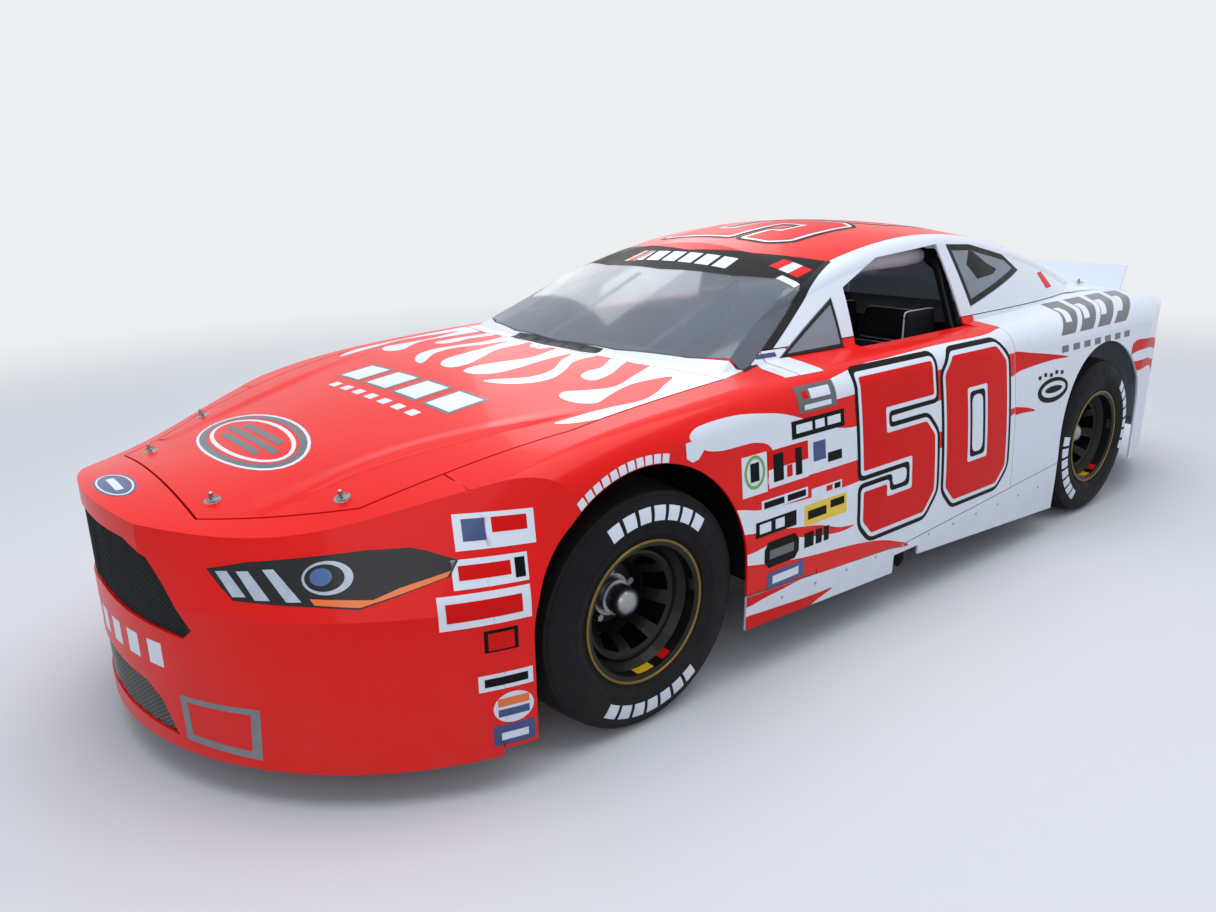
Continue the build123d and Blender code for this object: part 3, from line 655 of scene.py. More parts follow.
# Side graphics as (y, z) outlines: white bays between red licks, red tips on the white quarter panel
sideOutlines = {
    "windowBay": [
        (-0.66, 0.835), (-0.60, 0.815), (-0.50, 0.812), (-0.30, 0.818), (0.0, 0.824), (0.35, 0.826),
        (0.60, 0.826), (0.60, 0.905), (0.40, 0.899), (0.09, 0.899), (-0.21, 0.893), (-0.35, 0.891),
        (-0.51, 0.875), (-0.62, 0.858),
    ],
    "archBay": [
        (-1.173, 0.808), (-1.15, 0.783), (-1.12, 0.765), (-1.085, 0.755), (-1.04, 0.75), (-0.98, 0.75),
        (-0.92, 0.748), (-0.86, 0.73), (-0.84, 0.69), (-0.865, 0.64), (-0.85, 0.605), (-0.68, 0.603),
        (-0.43, 0.602), (0.0, 0.608), (0.6, 0.615), (0.6, 0.738), (0.53, 0.733), (0.2, 0.722),
        (-0.2, 0.712), (-0.43, 0.711), (-0.52, 0.72), (-0.60, 0.744), (-0.70, 0.78), (-0.79, 0.809),
        (-0.88, 0.825), (-0.965, 0.835), (-1.04, 0.836), (-1.11, 0.832), (-1.15, 0.825),
    ],
    "sillBay": [
        (-1.06, 0.487), (-0.974, 0.485), (-0.933, 0.479), (-0.87, 0.473), (-0.74, 0.45), (-0.63, 0.43),
        (-0.53, 0.398), (-0.451, 0.387), (-0.53, 0.381), (-0.67, 0.402), (-0.80, 0.43), (-0.89, 0.425),
        (-0.94, 0.42), (-1.06, 0.42), (-1.06, 0.40), (-0.98, 0.39), (-0.888, 0.372), (-0.702, 0.342),
        (-0.46, 0.318), (-0.30, 0.292), (-0.19, 0.258), (-0.13, 0.228), (-0.05, 0.12), (0.6, 0.10),
        (0.6, 0.35), (0.6, 0.585), (0.53, 0.581), (0.3, 0.562), (0.0, 0.546), (-0.4, 0.531),
        (-0.52, 0.527), (-0.69, 0.53), (-0.8, 0.536), (-0.91, 0.545), (-0.99, 0.564), (-1.06, 0.567),
    ],
    "upperTip": [
        (0.5, 0.737), (0.60, 0.747), (0.728, 0.754), (0.86, 0.757), (0.985, 0.754), (0.86, 0.778),
        (0.72, 0.8), (0.5, 0.826),
    ],
    "lowerTip": [(0.5, 0.585), (0.62, 0.579), (0.72, 0.573), (0.64, 0.598), (0.5, 0.617)],
    "sillLick": [
        (-1.0, 0.40), (-0.888, 0.375), (-0.70, 0.342), (-0.46, 0.318), (-0.30, 0.292), (-0.18, 0.257),
        (-0.13, 0.228), (-0.26, 0.245), (-0.40, 0.262), (-0.52, 0.272), (-0.63, 0.272), (-0.73, 0.27),
        (-0.86, 0.261), (-1.0, 0.262),
    ],
    "skirtWave": [
        (-1.0, 0.215), (-0.86, 0.213), (-0.73, 0.203), (-0.63, 0.197), (-0.55, 0.193), (-0.64, 0.17),
        (-0.75, 0.135), (-1.0, 0.12),
    ],
}
for side in ("left", "right"):
    for members, finish, names in (
        (sidePanels[side], "whiteVinyl", ("windowBay", "archBay", "sillBay")),
        ([f"{side}_quarter_panel"], "redVinyl", ("upperTip", "lowerTip")),
        (["rocker_skirts"], "redVinyl", ("sillLick", "skirtWave")),
    ):
        shapes = [[smoothLoop(sideOutlines[name])] for name in names]
        addGraphic(f"{side}SideGraphics", members, side, shapes, finish, 1)
print("side flames laid")

# Race number: two block digits with white and black borders, (u, v) outlines in a cell
number = dict(
    width=0.415, height=0.525, gap=0.075, low=0.335, start=-0.408, whiteEdge=0.015, blackEdge=0.031,
)
bar = 0.13
w, h = number["width"], number["height"]
digitShapes = {
    "five": [
        [
            (0, 0.05), (0.05, 0), (w - 0.06, 0), (w, 0.07), (w, 0.27), (w - 0.05, 0.325), (bar, 0.325),
            (bar, h - 0.115), (w, h - 0.115), (w, h), (0, h), (0, 0.222), (w - bar - 0.01, 0.222),
            (w - bar - 0.01, 0.108), (bar, 0.108), (bar, 0.152), (0, 0.152),
        ],
    ],
    "zero": [
        [
            (0, 0.06), (0.06, 0), (w - 0.06, 0), (w, 0.06), (w, h - 0.06), (w - 0.06, h), (0.06, h),
            (0, h - 0.06),
        ],
        [
            (bar + 0.01, 0.125), (bar + 0.01, h - 0.125), (w - bar - 0.01, h - 0.125),
            (w - bar - 0.01, 0.125),
        ],
    ],
}


def digitLoops(name, start, low, scale, grow, corner):
    loops = []
    for loop in digitShapes[name]:
        placed = [Vector((start + x * scale, low + y * scale)) for x, y in loop]
        loops.append(roundLoop(growLoop(placed, grow * scale), corner * scale))
    return loops


def addNumber(group, members, viewName, start, low, scale):
    second = start + (number["width"] + number["gap"]) * scale
    digits = (("five", start), ("zero", second))
    for finish, grow, level, corner in (
        ("blackVinyl", number["blackEdge"], 2, 0.03), ("whiteVinyl", number["whiteEdge"], 3, 0.02),
    ):
        for name, left in digits:
            shapes = [digitLoops(name, left, low, scale, grow, corner)]
            addGraphic(group, members, viewName, shapes, finish, level)
    hole = digitLoops("zero", second, low, scale, number["blackEdge"], 0.03)[1]
    addGraphic(group, members, viewName, [[list(reversed(hole))]], "whiteVinyl", 2)
    shapes = [digitLoops(name, left, low, scale, 0, 0.01) for name, left in digits]
    addGraphic(group, members, viewName, shapes, "redVinyl", 4)


for side, viewName, start in (("left", "left", number["start"]), ("right", "rightRead", -0.5)):
    addNumber(f"{side}NumberGraphics", [f"{side}_door"], viewName, start, number["low"], 1.0)
addNumber("roofNumberGraphics", ["roof_panel"], "roofRead", -0.12, -0.31, 1.15)
print("numbers laid")

# Hood flames as (x, y), left half from the centreline out and back along the seam
hoodFlame = [
    (0, -0.98), (0, -1.03), (0.035, -1.03), (0.08, -0.98), (0.095, -1.045), (0.105, -1.125),
    (0.056, -1.217), (0.024, -1.292), (0.041, -1.345), (0.109, -1.344), (0.165, -1.296), (0.177, -1.219),
    (0.172, -1.127), (0.187, -1.014), (0.227, -1.086), (0.292, -1.169), (0.297, -1.258), (0.221, -1.34),
    (0.206, -1.371), (0.286, -1.349), (0.351, -1.295), (0.367, -1.223), (0.327, -1.142), (0.275, -1.068),
    (0.281, -0.98), (0.313, -0.93), (0.35, -0.98), (0.4, -1.057), (0.396, -1.107), (0.417, -1.15),
    (0.46, -1.166), (0.49, -1.147), (0.474, -1.073), (0.432, -1.001), (0.416, -0.951), (0.456, -0.901),
    (0.509, -0.868), (0.503, -0.934), (0.542, -1.041), (0.582, -1.153), (0.543, -1.231), (0.506, -1.277),
    (0.522, -1.312), (0.568, -1.323), (0.618, -1.314), (0.655, -1.279), (0.639, -1.233), (0.605, -1.13),
    (0.606, -1.052), (0.633, -0.969), (0.68, -1.05), (0.709, -1.101), (0.732, -1.181), (0.71, -1.284),
    (0.694, -1.402), (0.691, -1.452), (0.74, -1.40), (0.793, -1.234), (0.80, -1.0), (0.80, -0.80),
    (0.4, -0.80), (0.1, -0.80),
]
flameCurve = [Vector((max(0.004, p.x), p.y)) for p in smoothLoop(hoodFlame)]
flames = [[flameCurve], [[Vector((-p.x, p.y)) for p in reversed(flameCurve)]]]
# Hood oval with plain bars, and block bars in place of the lettering
emblem = (-0.03, -2.02)
emblemBars = ((0.15, -1.985), (0.2, -2.02), (0.15, -2.055))
wide = (-0.3, -0.1, 0.1, 0.3)
small = (-0.27, -0.18, -0.09, 0, 0.09, 0.18, 0.27)
addGraphics(
    "hoodGraphics", ["hood"], "top",
    [
        ("whiteVinyl", 1, flames),
        ("whiteVinyl", 1, [ovalRing(emblem, (0.32, 0.128), (0.306, 0.12))]),
        ("greyVinyl", 1, [ovalRing(emblem, (0.306, 0.12), (0.272, 0.1))]),
        ("whiteVinyl", 1, [ovalRing(emblem, (0.262, 0.09), (0.245, 0.078))]),
        ("greyVinyl", 1, boxes((-0.03 - a, y - 0.011, -0.03 + a, y + 0.011) for a, y in emblemBars)),
        ("greyVinyl", 1, boxes((x - 0.082, -1.60, x + 0.082, -1.46) for x in wide)),
        ("whiteVinyl", 2, boxes((x - 0.068, -1.588, x + 0.068, -1.472) for x in wide)),
        ("whiteVinyl", 1, boxes((x - 0.025, -1.668, x + 0.025, -1.636) for x in small)),
    ],
)
print("hood laid")

# Plain colour blocks where the side carries stickers: finish, level, box as (y, z) low and (y, z) high
stickers = [
    ("greyVinyl", 2, (-0.717, 0.796, -0.533, 0.871)), ("whiteVinyl", 3, (-0.69, 0.803, -0.56, 0.818)),
    ("whiteVinyl", 3, (-0.655, 0.832, -0.56, 0.86)), ("redVinyl", 3, (-0.69, 0.835, -0.665, 0.857)),
    ("blackVinyl", 2, (-0.756, 0.725, -0.5, 0.779)), ("whiteVinyl", 3, (-0.735, 0.74, -0.66, 0.766)),
    ("whiteVinyl", 3, (-0.645, 0.74, -0.6, 0.766)), ("whiteVinyl", 3, (-0.585, 0.74, -0.52, 0.766)),
    ("whiteVinyl", 2, (-0.98, 0.594, -0.873, 0.714)), ("blackVinyl", 4, (-0.945, 0.635, -0.908, 0.69)),
    ("whiteVinyl", 2, (-0.866, 0.6, -0.684, 0.655)), ("redVinyl", 2, (-0.866, 0.656, -0.684, 0.712)),
    ("blackVinyl", 3, (-0.845, 0.615, -0.80, 0.698)), ("blackVinyl", 3, (-0.745, 0.615, -0.715, 0.698)),
    ("redVinyl", 3, (-0.785, 0.618, -0.76, 0.654)),
    ("whiteVinyl", 2, (-0.671, 0.61, -0.513, 0.71)), ("blueVinyl", 3, (-0.66, 0.64, -0.6, 0.70)),
    ("blackVinyl", 3, (-0.59, 0.625, -0.52, 0.655)),
    ("whiteVinyl", 2, (-0.90, 0.537, -0.69, 0.569)), ("blackVinyl", 3, (-0.89, 0.543, -0.80, 0.563)),
    ("blackVinyl", 3, (-0.785, 0.543, -0.7, 0.563)), ("whiteVinyl", 2, (-0.672, 0.528, -0.522, 0.556)),
    ("redVinyl", 3, (-0.6, 0.533, -0.57, 0.551)), ("blackVinyl", 3, (-0.56, 0.533, -0.53, 0.551)),
    ("blackVinyl", 2, (-0.926, 0.46, -0.744, 0.508)), ("whiteVinyl", 3, (-0.91, 0.47, -0.86, 0.5)),
    ("whiteVinyl", 3, (-0.84, 0.47, -0.8, 0.5)), ("yellowVinyl", 2, (-0.706, 0.443, -0.497, 0.509)),
    ("blackVinyl", 3, (-0.69, 0.462, -0.6, 0.49)), ("blackVinyl", 3, (-0.58, 0.475, -0.51, 0.5)),
    ("blackVinyl", 2, (-0.705, 0.372, -0.66, 0.42)), ("blackVinyl", 2, (-0.65, 0.372, -0.62, 0.42)),
    ("blackVinyl", 2, (-0.61, 0.372, -0.585, 0.42)), ("blueVinyl", 2, (-0.875, 0.283, -0.703, 0.336)),
    ("whiteVinyl", 3, (-0.85, 0.296, -0.73, 0.322)),
]
octagon = [
    (-0.888, 0.375), (-0.87, 0.353), (-0.75, 0.353), (-0.731, 0.375), (-0.731, 0.413), (-0.75, 0.435),
    (-0.87, 0.435), (-0.888, 0.413),
]


def boxRows(table, order):
    # one cut for each finish and level that the table has, in the order of the finishes
    rows = []
    for finish in order:
        for level in (1, 2, 3, 4):
            shapes = boxes(box for name, rank, box in table if (name, rank) == (finish, level))
            if shapes:
                rows.append((finish, level, shapes))
    return rows


stickerRows = boxRows(
    stickers, ("whiteVinyl", "blackVinyl", "greyVinyl", "redVinyl", "blueVinyl", "yellowVinyl"),
) + [
    ("blackVinyl", 2, [[octagon]]),
    ("greyVinyl", 3, boxes([(-0.865, 0.38, -0.755, 0.408)])),
    ("greenVinyl", 3, [ovalRing((-0.926, 0.662), (0.044, 0.05), (0.034, 0.04))]),
]
squares = boxes(
    (0.74 + 0.045 * i, 0.69 + 0.006 * (i % 2), 0.762 + 0.045 * i, 0.705 + 0.006 * (i % 2))
    for i in range(5)
)
quarterRing = [ellipseLoop((0.86, 0.635), (0.125, 0.05)), ellipseLoop((0.865, 0.637), (0.1, 0.032))]
quarterOval = [ellipseLoop((0.865, 0.637), (0.07, 0.014))]
for side in ("left", "right"):
    group = f"{side}StickerGraphics"
    addGraphics(group, sidePanels[side], side, stickerRows)
    shapes = [quarterRing, quarterOval] + squares
    addGraphic(group, [f"{side}_quarter_panel"], side, shapes, "blackVinyl", 2)
print("stickers laid")

# Headlamp film, drawn on the nose's rounded corner as (across, z)
lampOutline = [
    (-1.304, 0.612), (-1.2, 0.632), (-1.072, 0.643), (-0.919, 0.656), (-0.823, 0.657), (-0.785, 0.648),
    (-0.713, 0.622), (-0.729, 0.588), (-0.846, 0.554), (-0.926, 0.532), (-1.033, 0.539), (-1.232, 0.545),
    (-1.262, 0.57),
]
lampAmber = [
    (-1.042, 0.556), (-0.897, 0.551), (-0.839, 0.573), (-0.728, 0.60), (-0.735, 0.588), (-0.846, 0.557),
    (-0.926, 0.536), (-1.03, 0.543),
]
lampBars = [
    [(-1.28, 0.608), (-1.25, 0.61), (-1.198, 0.555), (-1.233, 0.553)],
    [(-1.226, 0.61), (-1.196, 0.612), (-1.137, 0.55), (-1.175, 0.549)],
    [(-1.161, 0.616), (-1.134, 0.618), (-1.061, 0.549), (-1.097, 0.548)],
]
ductOuter = [(-1.433, 0.262), (-1.193, 0.267), (-1.203, 0.126), (-1.429, 0.137)]
ductInner = [(-1.41, 0.247), (-1.22, 0.25), (-1.229, 0.148), (-1.407, 0.157)]
lampRing = [ellipseLoop((-1.005, 0.60), (0.06, 0.036)), ellipseLoop((-1.012, 0.60), (0.047, 0.029))]
lampRows = [
    ("lampFilm", 1, [[lampOutline]]),
    ("lampBar", 2, [[loop] for loop in lampBars]),
    ("orangeVinyl", 2, [[lampAmber]]),
    ("lampBar", 2, [lampRing]),
    ("lampBlue", 3, [[ellipseLoop((-1.02, 0.602), (0.026, 0.019))]]),
    ("ductTape", 1, [[ductOuter, ductInner]]),
]
noseStickers = [
    ("whiteVinyl", 1, (-1.455, 0.64, -1.262, 0.722)), ("whiteVinyl", 1, (-1.47, 0.555, -1.288, 0.622)),
    ("whiteVinyl", 1, (-1.513, 0.464, -1.288, 0.545)), ("blackVinyl", 1, (-1.41, 0.39, -1.325, 0.448)),
    ("whiteVinyl", 1, (-1.43, 0.287, -1.292, 0.331)), ("blueVinyl", 1, (-1.4, 0.13, -1.292, 0.187)),
    ("blueVinyl", 2, (-1.435, 0.66, -1.38, 0.71)), ("redVinyl", 2, (-1.365, 0.675, -1.28, 0.71)),
    ("redVinyl", 2, (-1.455, 0.575, -1.33, 0.608)), ("redVinyl", 2, (-1.495, 0.482, -1.31, 0.527)),
    ("blackVinyl", 2, (-1.415, 0.298, -1.305, 0.32)), ("whiteVinyl", 2, (-1.38, 0.145, -1.31, 0.165)),
    ("blackVinyl", 2, (-1.32, 0.565, -1.295, 0.612)),
]
noseRows = boxRows(noseStickers, ("whiteVinyl", "blackVinyl", "blueVinyl", "redVinyl")) + [
    ("whiteVinyl", 1, [[ellipseLoop((-1.345, 0.232), (0.052, 0.042))]]),
    ("orangeVinyl", 2, boxes([(-1.385, 0.238, -1.305, 0.26)])),
    ("blueVinyl", 2, boxes([(-1.385, 0.21, -1.305, 0.23)])),
]
# White blocks in an arc above the front wheel opening, and a shield beside them
archSettings = dict(centre=(-1.3335, 0.392), radius=0.386, blocks=11, first=124, step=4.4)
archBlock = ((-0.0125, -0.012), (0.0115, -0.012), (0.0125, 0.012), (-0.0105, 0.012))
archBlocks = []
for i in range(archSettings["blocks"]):
    turn = math.radians(archSettings["first"] - archSettings["step"] * i)
    out = Vector((math.cos(turn), math.sin(turn)))
    along = Vector((out.y, -out.x))
    centre = Vector(archSettings["centre"]) + archSettings["radius"] * out
    archBlocks.append([[centre + along * a + out * b for a, b in archBlock]])
shield = [
    (-1.192, 0.755), (-1.172, 0.741), (-1.148, 0.745), (-1.127, 0.765), (-1.13, 0.80),
    (-1.192, 0.796),
]
for side in ("left", "right"):
    group = f"{side}NoseGraphics"
    corner = [f"{side}_fender", "nose_cover", f"{side}NoseFilm"]
    addGraphics(group, corner, f"{side}Nose45", lampRows)
    addGraphics(group, corner, f"{side}Nose70", noseRows)
    archRows = [("whiteVinyl", 2, archBlocks), ("whiteVinyl", 3, [[shield]])]
    addGraphics(f"{side}ArchGraphics", [f"{side}_fender"], side, archRows)
    addGraphic(group, corner, f"{side}Nose70", boxes([(-1.40, 0.395, -1.335, 0.44)]), "redVinyl", 2)
blocks = boxes((x - 0.028, 0.325, x + 0.028, 0.392) for x in (-0.3, -0.2, -0.1, 0, 0.1, 0.2, 0.3))
addGraphic("noseTextGraphics", ["nose_cover"], "front", blocks, "whiteVinyl", 1)
badge = (0.0, -2.395)
rim = ovalRing(badge, (0.107, 0.042), (0.099, 0.037))
badgeRows = [
    ("blueVinyl", 1, [[ellipseLoop(badge, (0.115, 0.048))]]),
    ("whiteVinyl", 2, [rim] + boxes([(-0.06, -2.405, 0.06, -2.385)])),
]
addGraphics("noseTextGraphics", ["nose_cover"], "top", badgeRows)
print("nose laid")

# Grey block bars on the hip, red block on the rear pillar, swirl behind the wheel
swirl = [
    (1.6, 0.735), (1.78, 0.74), (1.98, 0.71), (2.18, 0.635), (2.34, 0.52), (2.40, 0.36), (2.38, 0.22),
    (2.3, 0.3), (2.2, 0.43), (2.04, 0.54), (1.86, 0.6), (1.62, 0.615),
]
swirlCore = [
    (1.6, 0.69), (1.78, 0.695), (1.96, 0.665), (2.1, 0.61), (1.95, 0.615), (1.8, 0.645), (1.6, 0.655),
]
hipBars = [
    [[(low, 0.275), (low + 0.118, 0.275), (high + 0.145, 0.455), (high, 0.455)]]
    for low, high in ((0.93 + 0.158 * i, 1.14 + 0.192 * i) for i in range(4))
]
hipSlots = [
    [[(low - 0.02, 0.325), (low + 0.03, 0.325), (high + 0.01, 0.41), (high - 0.04, 0.41)]]
    for low, high in ((1.035 + 0.158 * i, 1.135 + 0.18 * i) for i in range(4))
]
hipSquares = boxes((0.93 + 0.095 * i, 0.775, 0.985 + 0.095 * i, 0.802) for i in range(7))
swirlRows = [("redVinyl", 1, [[smoothLoop(swirl)]]), ("whiteVinyl", 2, [[smoothLoop(swirlCore)]])]
# dark borders of the vent and quarter glass, and the duct on the quarter glass as a dark film, painted shade
# of its opening
quarter = [(0.518, 1.218), (0.562, 0.978), (1.085, 1.08), (0.985, 1.15), (0.70, 1.208)]
vent = [(-0.575, 0.918), (-0.258, 0.918), (-0.232, 1.08)]
ductShade = [
    (0.68, 1.185), (0.625, 1.135), (0.675, 1.075), (0.82, 1.085), (0.865, 1.1), (0.79, 1.13),
    (0.715, 1.178),
]
glassShapes = [
    [growLoop(quarter, 0.004), growLoop(quarter, -0.024)],
    [growLoop(vent, 0.004), growLoop(vent, -0.014)], [ductShade],
]
# small plain block at the foot of the windscreen pillar, with a bar on it
footRows = [
    ("whiteVinyl", 2, boxes([(-0.70, 0.893, -0.53, 0.945)])),
    ("blueVinyl", 3, boxes([(-0.67, 0.925, -0.58, 0.938)])),
]
for side in ("left", "right"):
    group = f"{side}HipGraphics"
    hip = [f"{side}_quarter_panel", f"{side}_side_frame"]
    barRows = [("greyVinyl", 1, hipBars), ("whiteVinyl", 2, hipSlots)]
    addGraphics(group, hip, f"{side}Shoulder", barRows)
    blockRows = [("greyVinyl", 1, hipSquares), ("redVinyl", 1, boxes([(1.31, 0.985, 1.40, 1.05)]))]
    addGraphics(group, hip, side, blockRows)
    addGraphics(f"{side}TailGraphics", [f"{side}_quarter_panel", "rear_bumper"], side, swirlRows)
    addGraphic(f"{side}GlassGraphics", ["side_glass"], side, glassShapes, "windowRubber", 1)
    foot = [f"{side}_fender", f"{side}_door", f"{side}_side_frame"]
    addGraphics(f"{side}FootGraphics", foot, side, footRows)
print("hips and tail laid")

# Tail lamp film, plain blocks across the rear bumper
lampTail = [(0.36, 0.80), (0.70, 0.79), (0.72, 0.70), (0.36, 0.70)]
tailRows = [
    ("lampFilm", 1, [[list(reversed(lampTail))], [[(-x, z) for x, z in lampTail]]]),
    (
        "redVinyl", 2,
        boxes(
            (sign * x - 0.035, 0.715, sign * x + 0.035, 0.782)
            for sign in (-1, 1) for x in (0.42, 0.52, 0.62)
        ),
    ),
]
addGraphics("tailGraphics", ["rear_bumper"], "rear", tailRows)

# Windscreen banner, its plain blocks and slanted stripes, and the dark edge along both pillars
bannerHalf = [(0, -0.30), (0.30, -0.262), (0.54, -0.15), (0.60, -0.345), (0.35, -0.415), (0, -0.445)]
bannerBlocks = (-0.2, -0.11, -0.02, 0.07, 0.16, 0.25)
stripe = ((-0.01, -0.39), (0.012, -0.39), (0.05, -0.31), (0.028, -0.31))
bannerRows = [
    ("blackVinyl", 1, [[mirrored(bannerHalf)]]),
    ("whiteVinyl", 2, boxes((x - 0.035, -0.385, x + 0.035, -0.315) for x in bannerBlocks)),
]
for finish, x in (("orangeVinyl", -0.262), ("redVinyl", -0.238), ("blueVinyl", -0.214)):
    bannerRows.append((finish, 2, [[[(x + a, y) for a, y in stripe]]]))
for x, finish in ((0.452, "redVinyl"), (0.495, "whiteVinyl"), (0.538, "redVinyl")):
    bannerRows.append((finish, 2, boxes([(x - 0.0215, -0.315, x + 0.0215, -0.235)])))
bannerRows.append(("whiteVinyl", 2, boxes([(0.512, -0.372, 0.592, -0.34)])))
addGraphics("windscreenGraphics", ["windscreen"], "top", bannerRows)
for side, sign in (("left", 1), ("right", -1)):
    band = [(sign * x, y) for x, y in ((0.70, -0.79), (0.742, -0.765), (0.562, -0.138), (0.53, -0.14))]
    shapes = [[band if sign > 0 else band[::-1]]]
    members = [f"{side}_side_frame", f"{side}_fender"]
    addGraphic(f"{side}ScreenEdge", members, "top", shapes, "windowRubber", 1)
# intake slot in the cowl, under the middle of the screen, as a dark film: painted shade of the opening
slotShadeHalf = [(0, -0.99), (0.2, -0.978), (0.255, -0.965), (0.25, -0.925), (0, -0.94)]
addGraphic("cowlGraphics", ["cowl_panel"], "top", [[mirrored(slotShadeHalf)]], "windowRubber", 1)
print("banner laid")
finishGraphics()
print("graphics pieces:", len(graphics))


def sameFrame(origin, out, up):
    # matrix whose Z points out of the surface
    z = Vector(out).normalized()
    x = Vector(up).cross(z).normalized()
    return Matrix.Translation(origin) @ Matrix((x, z.cross(x), z)).transposed().to_4x4()


def around(place, radius, turn, height):
    # point about the placed Z axis
    return place @ Vector((radius * math.cos(turn), radius * math.sin(turn), height))


def turnedRings(form, place, profile, count):
    # a ring of vertices about the placed Z axis for each row of (distance along the axis, radius)
    return [
        [form.verts.new(around(place, radius, t, height)) for t in fullTurn(count)]
        for height, radius in profile
    ]


def turned(form, place, profile, count=48, closed=True):
    joinRings(form, turnedRings(form, place, profile, count), closed)


def aheadAt(points, i):
    # the way the line of points runs at one of them
    return (points[min(i + 1, len(points) - 1)] - points[max(i - 1, 0)]).normalized()


def tubeAlong(form, points, radius, sides=12):
    # closed round bar through the points
    rings = []
    points = [Vector(point) for point in points]
    for i, point in enumerate(points):
        ahead = aheadAt(points, i)
        side = ahead.cross(Vector((0, 0, 1)))
        side = side.normalized() if side.length > 0.05 else Vector((1, 0, 0))
        lift = side.cross(ahead)
        arms = [(radius * math.cos(t), radius * math.sin(t)) for t in fullTurn(sides)]
        rings.append([form.verts.new(point + side * a + lift * b) for a, b in arms])
    joinRings(form, rings)


def slab(form, place, size, bevel=0.0):
    box = bmesh.ops.create_cube(form, size=1, matrix=place @ Matrix.Diagonal((*size, 1)))
    if bevel:
        edges = list({e for v in box["verts"] for e in v.link_edges})
        bmesh.ops.bevel(form, geom=edges, offset=bevel, segments=3, affect="EDGES", profile=0.6)


# Nuts and rivets: one head on every point of a guide mesh, turned to the way out that the point carries
def headTree():
    tree = bpy.data.node_groups.new("fastenerHeads", "GeometryNodeTree")
    for name, kind in (
        ("Geometry", "Geometry"), ("Head Radius", "Float"), ("Crown Radius", "Float"),
        ("Head Height", "Float"),
    ):
        tree.interface.new_socket(name, in_out="INPUT", socket_type=f"NodeSocket{kind}")
    tree.interface.new_socket("Sides", in_out="INPUT", socket_type="NodeSocketInt")
    tree.interface.new_socket("Metal", in_out="INPUT", socket_type="NodeSocketMaterial")
    tree.interface.new_socket("Geometry", in_out="OUTPUT", socket_type="NodeSocketGeometry")
    start = addNode(tree, "NodeGroupInput").outputs
    head = addNode(
        tree, "GeometryNodeMeshCone", {"fill_type": "NGON"},
        {
            "Vertices": start["Sides"], "Radius Bottom": start["Head Radius"],
            "Radius Top": start["Crown Radius"], "Depth": start["Head Height"],
        },
    )
    outward = addNode(
        tree, "GeometryNodeInputNamedAttribute", {"data_type": "FLOAT_VECTOR", "Name": "outward"},
    )
    turn = addNode(
        tree, "FunctionNodeAlignRotationToVector", {"axis": "Z"},
        {"Vector": outward.outputs["Attribute"]},
    )
    placed = addNode(
        tree, "GeometryNodeInstanceOnPoints", None,
        {
            "Points": start["Geometry"], "Instance": head.outputs["Mesh"],
            "Rotation": turn.outputs["Rotation"],
        },
    )
    real = addNode(tree, "GeometryNodeRealizeInstances", None, {"Geometry": placed.outputs[0]})
    metal = addNode(
        tree, "GeometryNodeSetMaterial", None, {"Geometry": real.outputs[0], "Material": start["Metal"]},
    )
    addNode(tree, "NodeGroupOutput", None, {0: metal.outputs[0]})
    return tree


fastenerHeads = headTree()


def fasteners(name, body, spots, sizes, finish):
    # spots are (point, way out); sizes are head radius, crown radius, height and number of sides
    guide = bpy.data.meshes.new("guide")
    guide.from_pydata([point for point, normal in spots], [], [])
    outward = guide.attributes.new("outward", "FLOAT_VECTOR", "POINT")
    for i, (point, normal) in enumerate(spots):
        outward.data[i].vector = normal
    holder = linked("guide", guide)
    heads = holder.modifiers.new("heads", "NODES")
    heads.node_group = fastenerHeads
    values = dict(zip(("Head Radius", "Crown Radius", "Head Height", "Sides"), sizes))
    values["Metal"] = materials[finish]
    for socket in fastenerHeads.interface.items_tree:
        if socket.in_out == "INPUT" and socket.name in values:
            heads[socket.identifier] = values[socket.name]
    mesh = bakedMesh(holder)
    mesh.name = name
    newPiece(name, mesh, body)


# Steel wheel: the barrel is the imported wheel's own, the centre is dished out to the rim as in the photograph
wheelSettings = dict(
    windows=8, columns=10, open=6, thickness=0.006, firstRow=3, lastRow=6, nuts=5, nutCircle=0.073,
    nutDepth=-0.032, nutHead=(0.0125, 0.0108, 0.019, 6), labelRadii=(0.1862, 0.1848),
)
barrelHalf = [(0.062, 0.170), (0.090, 0.1915), (0.125, 0.1915), (0.133, 0.203)]
barrelUnder = [(0.133, 0.198), (0.128, 0.1865), (0.092, 0.1865), (0.064, 0.165)]
barrelProfile = [(-h, r) for h, r in reversed(barrelHalf)] + barrelHalf
barrelProfile += barrelUnder + [(-h, r) for h, r in reversed(barrelUnder)]
dishProfile = [
    (-0.032, 0.063), (-0.032, 0.088), (-0.02, 0.094), (0.0, 0.102), (0.025, 0.113), (0.05, 0.126),
    (0.068, 0.139), (0.076, 0.149), (0.076, 0.158), (0.068, 0.1655),
]


def dishedWheel(name, place, body):
    form = bmesh.new()
    columns = wheelSettings["columns"]
    total = wheelSettings["windows"] * columns
    rings = turnedRings(form, place, dishProfile, total)
    for i, (a, b) in enumerate(zip(rings, rings[1:])):
        for k in range(total):
            pierced = wheelSettings["firstRow"] <= i < wheelSettings["lastRow"]
            if not (pierced and k % columns < wheelSettings["open"]):
                form.faces.new((a[k], a[(k + 1) % total], b[(k + 1) % total], b[k]))
    bmesh.ops.recalc_face_normals(form, faces=form.faces)
    bmesh.ops.solidify(form, geom=form.faces, thickness=wheelSettings["thickness"])
    turned(form, place, barrelProfile, 96)
    return addPiece(name, form, "wheelEnamel", body, 35)


